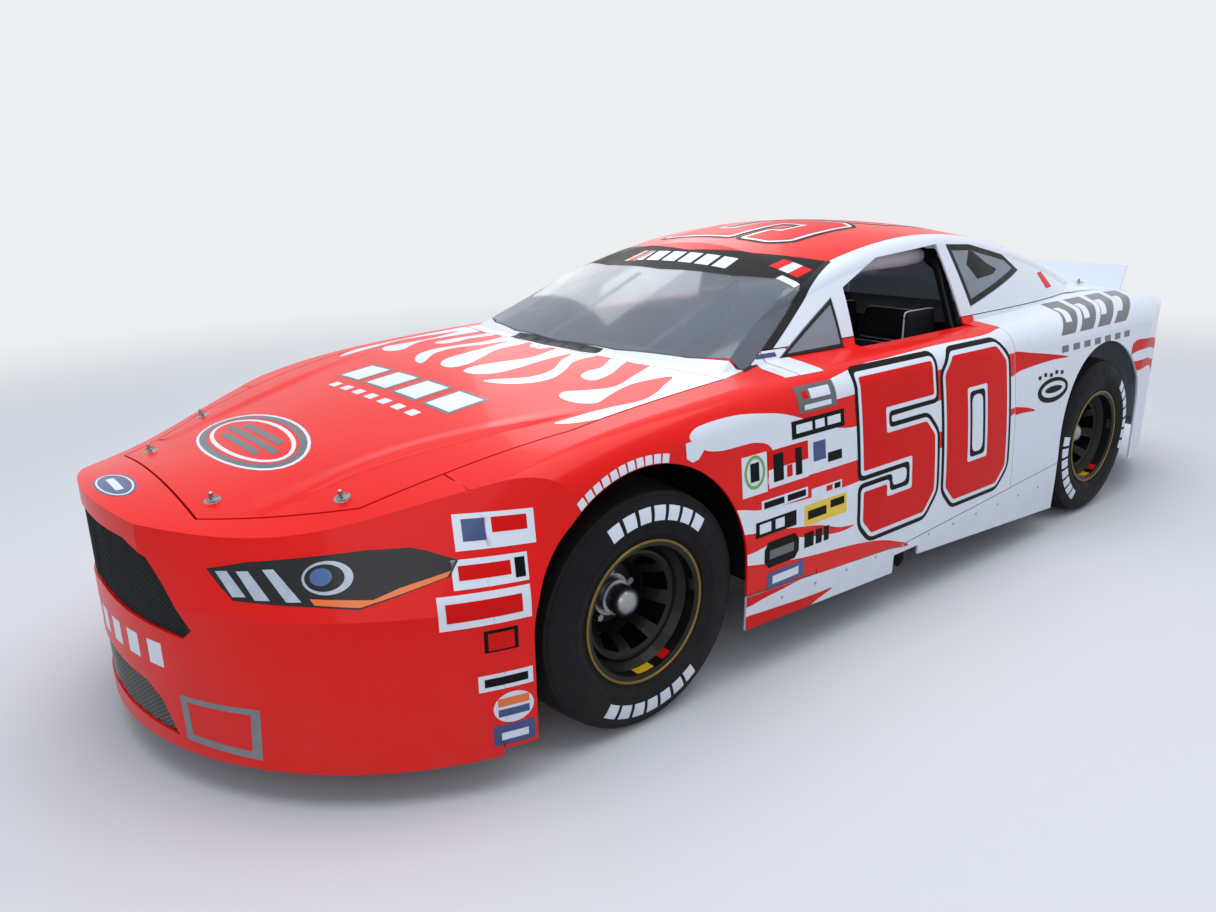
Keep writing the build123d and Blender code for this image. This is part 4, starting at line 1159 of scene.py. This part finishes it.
# Tyre marks, rim band and wheel hardware; the tyre's section is the arc through three (x, radius) points
tyreSettings = dict(
    centreX=0.790, axleY=1.3335, axleZ=0.349, lift=0.0011, blocks=7, blockBand=(0.262, 0.303),
)
# degrees at the front wheels, round the top and the bottom of the tyre
blockArcs = [(118, 45), (-123, -52)]
sidewallPoints = [(0.120, 0.192), (0.145, 0.268), (0.124, 0.337)]
ribRings = [(0.2165, 0.0022), (0.247, 0.0012), (0.326, 0.0014)]  # radius and height of each raised ring
bandProfile = [
    (0.1335, 0.1985), (0.1355, 0.2), (0.1355, 0.2055), (0.1335, 0.207), (0.129, 0.2065), (0.1335, 0.2035),
]
# the domed dust cap reaches out nearly to the rim
capProfile = [(0.004, 0.0001), (0.004, 0.052), (0.010, 0.052), (0.012, 0.043)] + [
    (0.044 + 0.031 * math.sin(math.radians(a)), max(0.0001, 0.043 * math.cos(math.radians(a))))
    for a in range(0, 91, 10)
]
# labels and a balance weight on the barrel's inner wall: finish, degrees and distances along the axis
barrelLabels = {
    "TyreLabel": ("yellowVinyl", (-97, -79), (0.094, 0.122)),
    "TyreTag": ("redVinyl", (-68, -58), (0.094, 0.122)),
    "RimWeight": ("machinedSteel", (2, 13), (0.108, 0.124)),
}


def circleThrough(points):
    (ax, ay), (bx, by), (cx, cy) = points
    spread = 2 * (ax * (by - cy) + bx * (cy - ay) + cx * (ay - by))
    squares = [x * x + y * y for x, y in points]
    centreX = (squares[0] * (by - cy) + squares[1] * (cy - ay) + squares[2] * (ay - by)) / spread
    centreY = (squares[0] * (cx - bx) + squares[1] * (ax - cx) + squares[2] * (bx - ax)) / spread
    return centreX, centreY, math.hypot(ax - centreX, ay - centreY)


sidewallArc = circleThrough(sidewallPoints)


def sidewallX(radius):
    return sidewallArc[0] + math.sqrt(sidewallArc[2] ** 2 - (radius - sidewallArc[1]) ** 2)


def sidewallPatch(form, place, start, end, low, high, lift):
    # raised block on the sidewall between two angles and two radii, closed
    radii = [low + (high - low) * i / 5 for i in range(6)]
    turns = [math.radians(start + (end - start) * k / 6) for k in range(7)]
    under, over = (
        [
            [form.verts.new(around(place, radius, turn, sidewallX(radius) + height)) for turn in turns]
            for radius in radii
        ]
        for height in (-0.0004, lift)
    )
    closeShells(form, over, under)


for side, sign in (("left", 1), ("right", -1)):
    for end, turnOffset in (("front", 0), ("rear", -68)):
        centre = Vector(
            (
                sign * tyreSettings["centreX"], (-1 if end == "front" else 1) * tyreSettings["axleY"],
                tyreSettings["axleZ"],
            )
        )
        # local X to the tail, local Y up, local Z out of the car
        place = Matrix.Translation(centre) @ Matrix(((0, 0, sign), (1, 0, 0), (0, 1, 0))).to_4x4()
        body = f"{side}_{end}_roller"
        corner = f"{side}{end.title()}"
        form = bmesh.new()
        for start, stop in blockArcs:
            step = (stop - start) / tyreSettings["blocks"]
            for i in range(tyreSettings["blocks"]):
                first = start + step * i + turnOffset
                ends = (first + step * 0.1, first + step * 0.86)
                sidewallPatch(form, place, *ends, *tyreSettings["blockBand"], tyreSettings["lift"])
        addPiece(f"{corner}TyreMarks", form, "whiteVinyl", body)
        form = bmesh.new()
        for radius, height in ribRings:
            x = sidewallX(radius)
            section = [
                (x - 0.003, radius - 0.0035), (x + height, radius - 0.0012),
                (x + height, radius + 0.0012), (x - 0.003, radius + 0.0035),
            ]
            turned(form, place, section, 96)
        addPiece(f"{corner}TyreRibs", form, "slickRubber", body, 60)
        form = bmesh.new()
        turned(form, place, bandProfile, 96)
        addPiece(f"{corner}RimBand", form, "brassBand", body, 30)
        wheel = dishedWheel(f"{corner}Wheel", place, body)
        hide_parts(f"{side}_{end}_wheel")
        form = bmesh.new()
        turned(form, place, capProfile, 40, False)
        addPiece(f"{corner}DustCap", form, "machinedSteel", body, 40)
        spots = [
            around(place, wheelSettings["nutCircle"], turn + math.pi / 2, wheelSettings["nutDepth"])
            for turn in fullTurn(wheelSettings["nuts"])
        ]
        nuts = [(spot, Vector((sign, 0, 0))) for spot in spots]
        fasteners(f"{corner}LugNuts", body, nuts, wheelSettings["nutHead"], "machinedSteel")
        for label, (finish, (first, last), heights) in barrelLabels.items():
            form = bmesh.new()
            turns = [math.radians(first + (last - first) * k / 6) for k in range(7)]
            shells = [
                [
                    [form.verts.new(around(place, radius, turn, height)) for turn in turns]
                    for height in heights
                ]
                for radius in wheelSettings["labelRadii"]
            ]
            closeShells(form, *shells)
            addPiece(f"{corner}{label}", form, finish, body)
print("wheels dressed")

# Grille mesh: crossed wires bent round the nose, in front of each dark plate
grilleSettings = dict(
    radius=0.9432, wire=0.0011, cross=0.4, centreY=-1.52, middleZ=0.4, slope=0.62, steps=60, reach=0.46,
    span=0.9,
)
upperGrille = [
    (0, 0.668), (0.240, 0.655), (0.320, 0.620), (0.440, 0.452), (0.410, 0.425), (0.200, 0.445),
    (0, 0.474),
]
lowerGrille = [(0, 0.286), (0.240, 0.264), (0.300, 0.225), (0.345, 0.138), (0, 0.156)]


def insideLoop(point, loop):
    inside = False
    for (x1, y1), (x2, y2) in zip(loop, loop[1:] + loop[:1]):
        if (y1 > point[1]) != (y2 > point[1]) and point[0] < (x2 - x1) * (point[1] - y1) / (y2 - y1) + x1:
            inside = not inside
    return inside


def grilleWires(form, outline, spacing):
    loop = mirrored(outline)
    wire, reach, steps = (grilleSettings[key] for key in ("wire", "reach", "steps"))
    for slope in (1, -1):
        nearer = slope * wire * grilleSettings["cross"]
        start = -grilleSettings["span"]
        while start < grilleSettings["span"]:
            run = []
            for i in range(steps + 1):
                x = reach * (2 * i / steps - 1)
                z = grilleSettings["middleZ"] + slope * (x - start) * grilleSettings["slope"]
                if insideLoop((x, z), loop):
                    bend = math.sqrt(grilleSettings["radius"] ** 2 - x * x)
                    run.append(Vector((x, grilleSettings["centreY"] - bend + nearer, z)))
                    continue
                if len(run) > 1:
                    tubeAlong(form, run, wire, 5)
                run = []
            if len(run) > 1:
                tubeAlong(form, run, wire, 5)
            start += spacing


for name, outline, finish, spacing in (
    ("upperGrilleMesh", upperGrille, "grainedPlastic", 0.022),
    ("lowerGrilleMesh", lowerGrille, "sheetAluminium", 0.02),
):
    form = bmesh.new()
    grilleWires(form, outline, spacing)
    addPiece(name, form, finish, "chassis")
print("grilles dressed")

# The hood's pressed ridges, each a swell across its line that runs out at both ends
ridgeSettings = dict(height=0.009, width=0.045, lift=0.0002, inner=1.5, outer=0.6, fade=1.4, steps=6)
ridgeLine = [
    (0.43, -2.246), (0.455, -2.08), (0.473, -1.92), (0.515, -1.77), (0.575, -1.62), (0.635, -1.47),
    (0.66, -1.40),
]
for side, sign in (("left", 1), ("right", -1)):
    ridge = smoothLoop(ridgeLine, 6)[:37]
    rows = []
    for i, spot in enumerate(ridge):
        ahead = aheadAt(ridge, i)
        outward = Vector((-ahead.y, ahead.x)) * (1 if -ahead.y > 0 else -1)
        swell = math.sin(math.pi * i / (len(ridge) - 1)) ** ridgeSettings["fade"]
        row = []
        steps = ridgeSettings["steps"]
        for k in range(-steps, steps + 1):
            reach = ridgeSettings["width"] * k / steps * ridgeSettings["inner" if k < 0 else "outer"]
            flat = spot + outward * reach
            found = castOn(["hood"], (sign * flat.x, flat.y, 1.5), (0, 0, -1))
            if found:
                rise = ridgeSettings["height"] * swell * (0.5 + 0.5 * math.cos(math.pi * k / steps))
                row.append((found[0] + found[1] * (rise + ridgeSettings["lift"]), found[1]))
        if len(row) == 2 * steps + 1:
            rows.append(row)
    form = bmesh.new()
    surfaceStrip(form, rows)
    addPiece(f"{side}HoodRidge", form, "redVinylWrap", "hood", 60)
print("hood ridges laid")

# Hood and deck pins: scuff plate, post and a wire clip through it
pinSettings = dict(plate=0.022, post=0.0055, height=0.022, clip=0.0016)
plateProfile = [
    (-0.0005, 0.0001), (-0.0005, pinSettings["plate"]), (0.0012, pinSettings["plate"] - 0.001),
    (0.0016, 0.0001),
]
postProfile = [
    (0, 0.0001), (0, pinSettings["post"]), (pinSettings["height"], pinSettings["post"]),
    (pinSettings["height"] + 0.004, 0.0001),
]
clipRing = [
    (0.013 + 0.014 * math.cos(t), 0.014 * math.sin(t), 0.010)
    for t in (math.radians(200 + 320 * i / 20) for i in range(21))
]
clipLeg = [(-0.02, 0.004, 0.010), (0.004, 0.001, 0.010), (0.03, -0.004, 0.011)]


def surfaceAt(node, x, y):
    hit, place, normal, index = nodes[node].ray_cast(Vector((x, y, 2)), Vector((0, 0, -1)))
    return (place, normal) if hit else (Vector((x, y, 0.8)), Vector((0, 0, 1)))


for name, node, body, spots in (
    ("hoodPins", "hood", "hood", [(0.30, -2.235), (-0.30, -2.235), (0.565, -2.005), (-0.565, -2.005)]),
    ("deckPins", "deck_lid", "trunk_lid", [(0.52, 1.90), (-0.52, 1.90)]),
):
    form = bmesh.new()
    for x, y in spots:
        spot, normal = surfaceAt(node, x, y)
        place = sameFrame(spot, normal, (0, 1, 0))
        turned(form, place, plateProfile, 28, False)
        turned(form, place, postProfile, 14, False)
        for line in (clipRing, clipLeg):
            tubeAlong(form, [place @ Vector(point) for point in line], pinSettings["clip"], 8)
    addPiece(name, form, "machinedSteel", body, 40)
rivetSettings = dict(head=(0.0055, 0.0032, 0.0022, 14), spacing=0.16, skirtHeight=0.236, footLift=0.018)
for side, sign in (("left", 1), ("right", -1)):
    eyes = [
        (sign * 1.5, -0.8 + rivetSettings["spacing"] * i, rivetSettings["skirtHeight"]) for i in range(11)
    ]
    spots = [castOn(["rocker_skirts"], eye, (-sign, 0, 0)) for eye in eyes]
    spots = [spot for spot in spots if spot]
    fasteners(f"{side}SkirtRivets", "chassis", spots, rivetSettings["head"], "machinedSteel")
spoiler = nodes["rear_spoiler"]
footHeight = min((spoiler.matrix_world @ Vector(corner)).z for corner in spoiler.bound_box)
footHeight += rivetSettings["footLift"]
spots = [castOn(["rear_spoiler"], (-0.6 + 0.1 * i, 3.2, footHeight), (0, -1, 0)) for i in range(13)]
spots = [spot for spot in spots if spot and spot[1].y > 0.5]
fasteners("spoilerRivets", "trunk_lid", spots, rivetSettings["head"], "machinedSteel")
print("pins and rivets set")

# Cockpit: roof-bar sleeves, seat pads, belts, gauges, mirror, screen braces, gear lever
form = bmesh.new()
for sign in (1, -1):
    place = sameFrame((sign * 0.27, -0.59, 0.985), (0, -0.40, 0.92), (1, 0, 0))
    slab(form, place, (0.62, 0.035, 0.003), 0.0008)
addPiece("screenBraces", form, "sheetAluminium", "chassis")

sleeveSettings = dict(
    front=(0.507, -0.04, 1.166), rear=(0.5, 0.50, 1.171), radius=0.036, taper=0.008, rings=17,
)
for name, sign in (("driverRoofSleeve", 1), ("passengerRoofSleeve", -1)):
    form = bmesh.new()
    front, rear = (
        Vector((sign * x, y, z)) for x, y, z in (sleeveSettings["front"], sleeveSettings["rear"])
    )
    rings = []
    for i in range(sleeveSettings["rings"]):
        share = i / (sleeveSettings["rings"] - 1)
        point = front.lerp(rear, share)
        swell = sleeveSettings["radius"] - sleeveSettings["taper"] * abs(2 * share - 1) ** 6
        arms = [Vector((swell * math.cos(t), 0, swell * math.sin(t))) for t in fullTurn(24)]
        rings.append([form.verts.new(point + arm) for arm in arms])
    joinRings(form, rings)
    mesh = meshFrom(name, form, "palePadding", 60)
    newPiece(name, mesh, "chassis")

# stuffed seat pads laid on the shell, a head pad with two side wings, and the flat harness webbing over them
seatSettings = dict(centreX=0.375, webbing=0.06, thickness=0.003, seam=0.004, piping=0.0035)
# where each pad lies, its way out and its size
seatPads = {
    "seatCushion": ((0.375, 0.12, 0.336), (0, 0.10, 0.995), (0.335, 0.33, 0.05)),
    "seatBackPad": ((0.375, 0.398, 0.585), (0, -0.946, 0.324), (0.335, 0.47, 0.045)),
    "headPad": ((0.375, 0.505, 0.885), (0, -0.946, 0.324), (0.24, 0.13, 0.05)),
    "leftHeadWing": ((0.565, 0.435, 0.90), (-1, 0, 0), (0.13, 0.20, 0.045)),
    "rightHeadWing": ((0.185, 0.435, 0.90), (1, 0, 0), (0.13, 0.20, 0.045)),
}
padSteps = [2 * i / 14 - 1 for i in range(15)]


def padPoint(u, v, size, face):
    # pillow: thin along its seam, swollen in the middle, with eased corners
    puff = (max(0.0, 1 - u**8) * max(0.0, 1 - v**8)) ** 0.5
    ease = 1 - 0.06 * (abs(u) ** 6) * (abs(v) ** 6)
    seam = seatSettings["seam"]
    return Vector(
        (u * size[0] / 2 * ease, v * size[1] / 2 * ease, face * (seam + (size[2] / 2 - seam) * puff))
    )


for name, (spot, out, size) in seatPads.items():
    form = bmesh.new()
    across = Vector((1, 0, 0) if abs(out[0]) < 0.5 else (0, 0, 1))
    z = Vector(out).normalized()
    x = (across - z * z.dot(across)).normalized()
    place = Matrix.Translation(spot) @ Matrix((x, z.cross(x), z)).transposed().to_4x4()
    over, under = (
        [[form.verts.new(place @ padPoint(u, v, size, face)) for v in padSteps] for u in padSteps]
        for face in (1, -1)
    )
    rim = closeShells(form, over, under)
    edge = [over[a][b].co + (under[a][b].co - over[a][b].co) * 0.5 for a, b in rim]
    mesh = meshFrom(name, form, "seatFabric", 50)
    newPiece(name, mesh, "chassis")
    form = bmesh.new()
    tubeAlong(form, edge + edge[:1], seatSettings["piping"], 8)
    addPiece(f"{name}Piping", form, "whiteVinyl", "chassis", 60)


def strapSection(form, point, reach, lift):
    return [
        form.verts.new(point + offset)
        for offset in (reach + lift, -reach + lift, -reach - lift, reach - lift)
    ]


def webbing(form, points, width, thickness):
    # flat strap along the points, its width across the car
    sections = []
    for i, point in enumerate(points):
        ahead = aheadAt(points, i)
        side = (Vector((1, 0, 0)) - ahead * ahead.x).normalized()
        lift = side.cross(ahead) * thickness / 2
        reach = side * width / 2
        sections.append(strapSection(form, point, reach, lift))
    joinRings(form, sections)


form = bmesh.new()
for lean in (1, -1):
    run = [
        (0.07, 0.535, 0.80), (0.07, 0.46, 0.805), (0.065, 0.42, 0.72), (0.055, 0.37, 0.60),
        (0.04, 0.325, 0.48), (0.02, 0.285, 0.395),
    ]
    webbing(
        form, [Vector((seatSettings["centreX"] + lean * x, y, z)) for x, y, z in run],
        seatSettings["webbing"], seatSettings["thickness"],
    )
lap = [
    (-0.19, 0.30, 0.34), (-0.15, 0.27, 0.385), (-0.08, 0.26, 0.395), (0.0, 0.262, 0.398),
    (0.08, 0.26, 0.395), (0.15, 0.27, 0.385), (0.19, 0.30, 0.34),
]
sections = []
for x, y, z in lap:
    middle = Vector((seatSettings["centreX"] + x, y, z))
    sections.append(strapSection(form, middle, Vector((0, 0.024, 0.008)), Vector((0, -0.0005, 0.0015))))
joinRings(form, sections)
addPiece("harness", form, "harnessWebbing", "chassis")
form = bmesh.new()
slab(form, Matrix.Translation((0.375, 0.262, 0.404)), (0.06, 0.05, 0.012), 0.004)
addPiece("harnessBuckle", form, "machinedSteel", "chassis")

rims = bmesh.new()
dials = bmesh.new()
for x, z, radius in (
    (0.255, 0.80, 0.030), (0.335, 0.80, 0.030), (0.415, 0.80, 0.030), (0.495, 0.80, 0.030),
    (0.175, 0.795, 0.045),
):
    place = sameFrame((x, -0.5, z), (0, 1, 0), (0, 0, 1))
    rimInner = radius - 0.004
    dial = radius - 0.0045
    rimProfile = [
        (0.0, radius), (0.014, radius), (0.016, radius - 0.003), (0.008, rimInner), (0.0, rimInner),
    ]
    turned(rims, place, rimProfile, 32)
    turned(dials, place, [(0.0, 0.0001), (0.0, dial), (0.006, dial), (0.006, 0.0001)], 32, False)
    needle = place @ Matrix.Rotation(0.6, 4, "Z") @ Matrix.Translation((0, radius * 0.3, 0.0075))
    slab(dials, needle, (0.002, radius * 0.9, 0.001))
addPiece("gaugeRims", rims, "machinedSteel", "chassis")
addPiece("gaugeFaces", dials, "whiteVinyl", "chassis")
form = bmesh.new()
slab(form, sameFrame((-0.05, -0.498, 0.79), (0, 1, 0), (0, 0, 1)), (0.28, 0.09, 0.006), 0.002)
for x in (-0.16 + 0.037 * i for i in range(7)):
    tubeAlong(form, [(x, -0.495, 0.79), (x, -0.472, 0.80)], 0.004, 8)
addPiece("switchPanel", form, "sheetAluminium", "chassis")
form = bmesh.new()
mirrorProfile = [
    (-0.012, 0.0001), (-0.01, 0.03), (0.0, 0.046), (0.004, 0.046), (0.003, 0.042), (0.001, 0.0001),
]
turned(form, sameFrame((0.585, -0.28, 1.0), (-0.25, 0.95, -0.05), (0, 0, 1)), mirrorProfile, 36, False)
tubeAlong(form, [(0.585, -0.29, 1.0), (0.578, -0.30, 1.04), (0.567, -0.30, 1.062)], 0.006, 10)
addPiece("driverMirror", form, "machinedSteel", "chassis", 40)
form = bmesh.new()
tubeAlong(form, [(0.04, -0.33, 0.42), (0.05, -0.30, 0.55), (0.06, -0.27, 0.68)], 0.007, 12)
knob = Matrix.Translation((0.062, -0.265, 0.70))
bmesh.ops.create_uvsphere(form, u_segments=16, v_segments=10, radius=0.024, matrix=knob)
addPiece("gearLever", form, "machinedSteel", "chassis", 40)
print("cockpit dressed")

# Camera solved from the photograph, held as eye, azimuth, pitch and roll
cameraSettings = dict(eye=(2.618, -2.827, 1.461), azimuth=51.07, pitch=16.50, roll=-0.99, lens=27.06)
azimuth, pitch, roll = (math.radians(cameraSettings[key]) for key in ("azimuth", "pitch", "roll"))
back = Vector((math.sin(azimuth) * math.cos(pitch), -math.cos(azimuth) * math.cos(pitch), math.sin(pitch)))
right = (-back).cross(Vector((0, 0, 1))).normalized()
up = right.cross(-back)
levelled = right * math.cos(roll) + up * math.sin(roll)
upright = -right * math.sin(roll) + up * math.cos(roll)
cameraData = bpy.data.cameras.new("camera")
cameraData.lens = cameraSettings["lens"]
cameraData.sensor_width = 36
cameraData.sensor_fit = "HORIZONTAL"
cameraData.clip_end = 200
camera = linked("camera", cameraData)
axes = Matrix((levelled, upright, back)).transposed().to_4x4()
camera.matrix_world = Matrix.Translation(cameraSettings["eye"]) @ axes
scene.camera = camera

# Pale studio: a wide floor that fades into an even backdrop where the camera looks far past the car
studio = dict(
    floorHex="#D6D7D9", backdropHex="#EDEFF1", worldHex="#DDE8FA", worldStrength=0.62, radius=60,
    fadeFrom=3.2, fadeTo=9,
)


def backdropRays(tree):
    # 1 where the camera, a gloss or a sheet of glass looks at the backdrop, 0 for the light it gives
    rays = addNode(tree, "ShaderNodeLightPath").outputs
    seen = rays["Is Camera Ray"]
    for kind in ("Is Glossy Ray", "Is Transmission Ray"):
        seen = addNode(tree, "ShaderNodeMath", {"operation": "MAXIMUM"}, {0: seen, 1: rays[kind]}).outputs[0]
    return seen


form = bmesh.new()
bmesh.ops.create_circle(form, cap_ends=True, segments=96, radius=studio["radius"])
floorMesh = bpy.data.meshes.new("studioFloor")
form.to_mesh(floorMesh)
form.free()
floorPaint = bpy.data.materials.new("mattFloorPaint")
tree = clearTree(floorPaint)
coords = addNode(tree, "ShaderNodeTexCoord")
distance = addNode(tree, "ShaderNodeVectorMath", {"operation": "LENGTH"}, {0: coords.outputs["Object"]})
fade = addNode(
    tree, "ShaderNodeMapRange",
    {"interpolation_type": "SMOOTHSTEP", "From Min": studio["fadeFrom"], "From Max": studio["fadeTo"]},
    {0: distance.outputs["Value"]},
)
share = addNode(
    tree, "ShaderNodeMath", {"operation": "MULTIPLY"}, {0: fade.outputs[0], 1: backdropRays(tree)},
)
matt = addNode(tree, "ShaderNodeBsdfDiffuse", {"Color": linearColour(studio["floorHex"])})
pale = addNode(tree, "ShaderNodeEmission", {"Color": linearColour(studio["backdropHex"])})
mixed = addNode(
    tree, "ShaderNodeMixShader", None, {0: share.outputs[0], 1: matt.outputs[0], 2: pale.outputs[0]},
)
addNode(tree, "ShaderNodeOutputMaterial", None, {"Surface": mixed.outputs[0]})
floorMesh.materials.append(floorPaint)
studioFloor = linked("studioFloor", floorMesh)

scene.world = bpy.data.worlds.new("softStudio")
tree = clearTree(scene.world)
sky = addNode(
    tree, "ShaderNodeBackground",
    {"Color": linearColour(studio["worldHex"]), "Strength": studio["worldStrength"]},
)
drop = addNode(tree, "ShaderNodeBackground", {"Color": linearColour(studio["backdropHex"])})
mixed = addNode(
    tree, "ShaderNodeMixShader", None, {0: backdropRays(tree), 1: sky.outputs[0], 2: drop.outputs[0]},
)
addNode(tree, "ShaderNodeOutputWorld", None, {"Surface": mixed.outputs[0]})
lamps = {
    "overhead": dict(place=(0.5, -0.5, 6.5), target=(0, 0, 0), size=7.0, watts=370),
    "frontLeft": dict(place=(5.5, -6.0, 3.6), target=(0, -1, 0.5), size=4.0, watts=60),
    "tailRight": dict(place=(-6, 4, 4.5), target=(0, 0, 0.5), size=4.0, watts=90),
}
for name, lamp in lamps.items():
    light = bpy.data.lights.new(name, "AREA")
    light.shape = "SQUARE"
    light.size = lamp["size"]
    light.energy = lamp["watts"]
    holder = linked(name, light)
    holder.location = lamp["place"]
    aim = Vector(lamp["target"]) - Vector(lamp["place"])
    holder.rotation_euler = aim.to_track_quat("-Z", "Y").to_euler()
scene.view_settings.view_transform = "Standard"
print("studio and camera set")
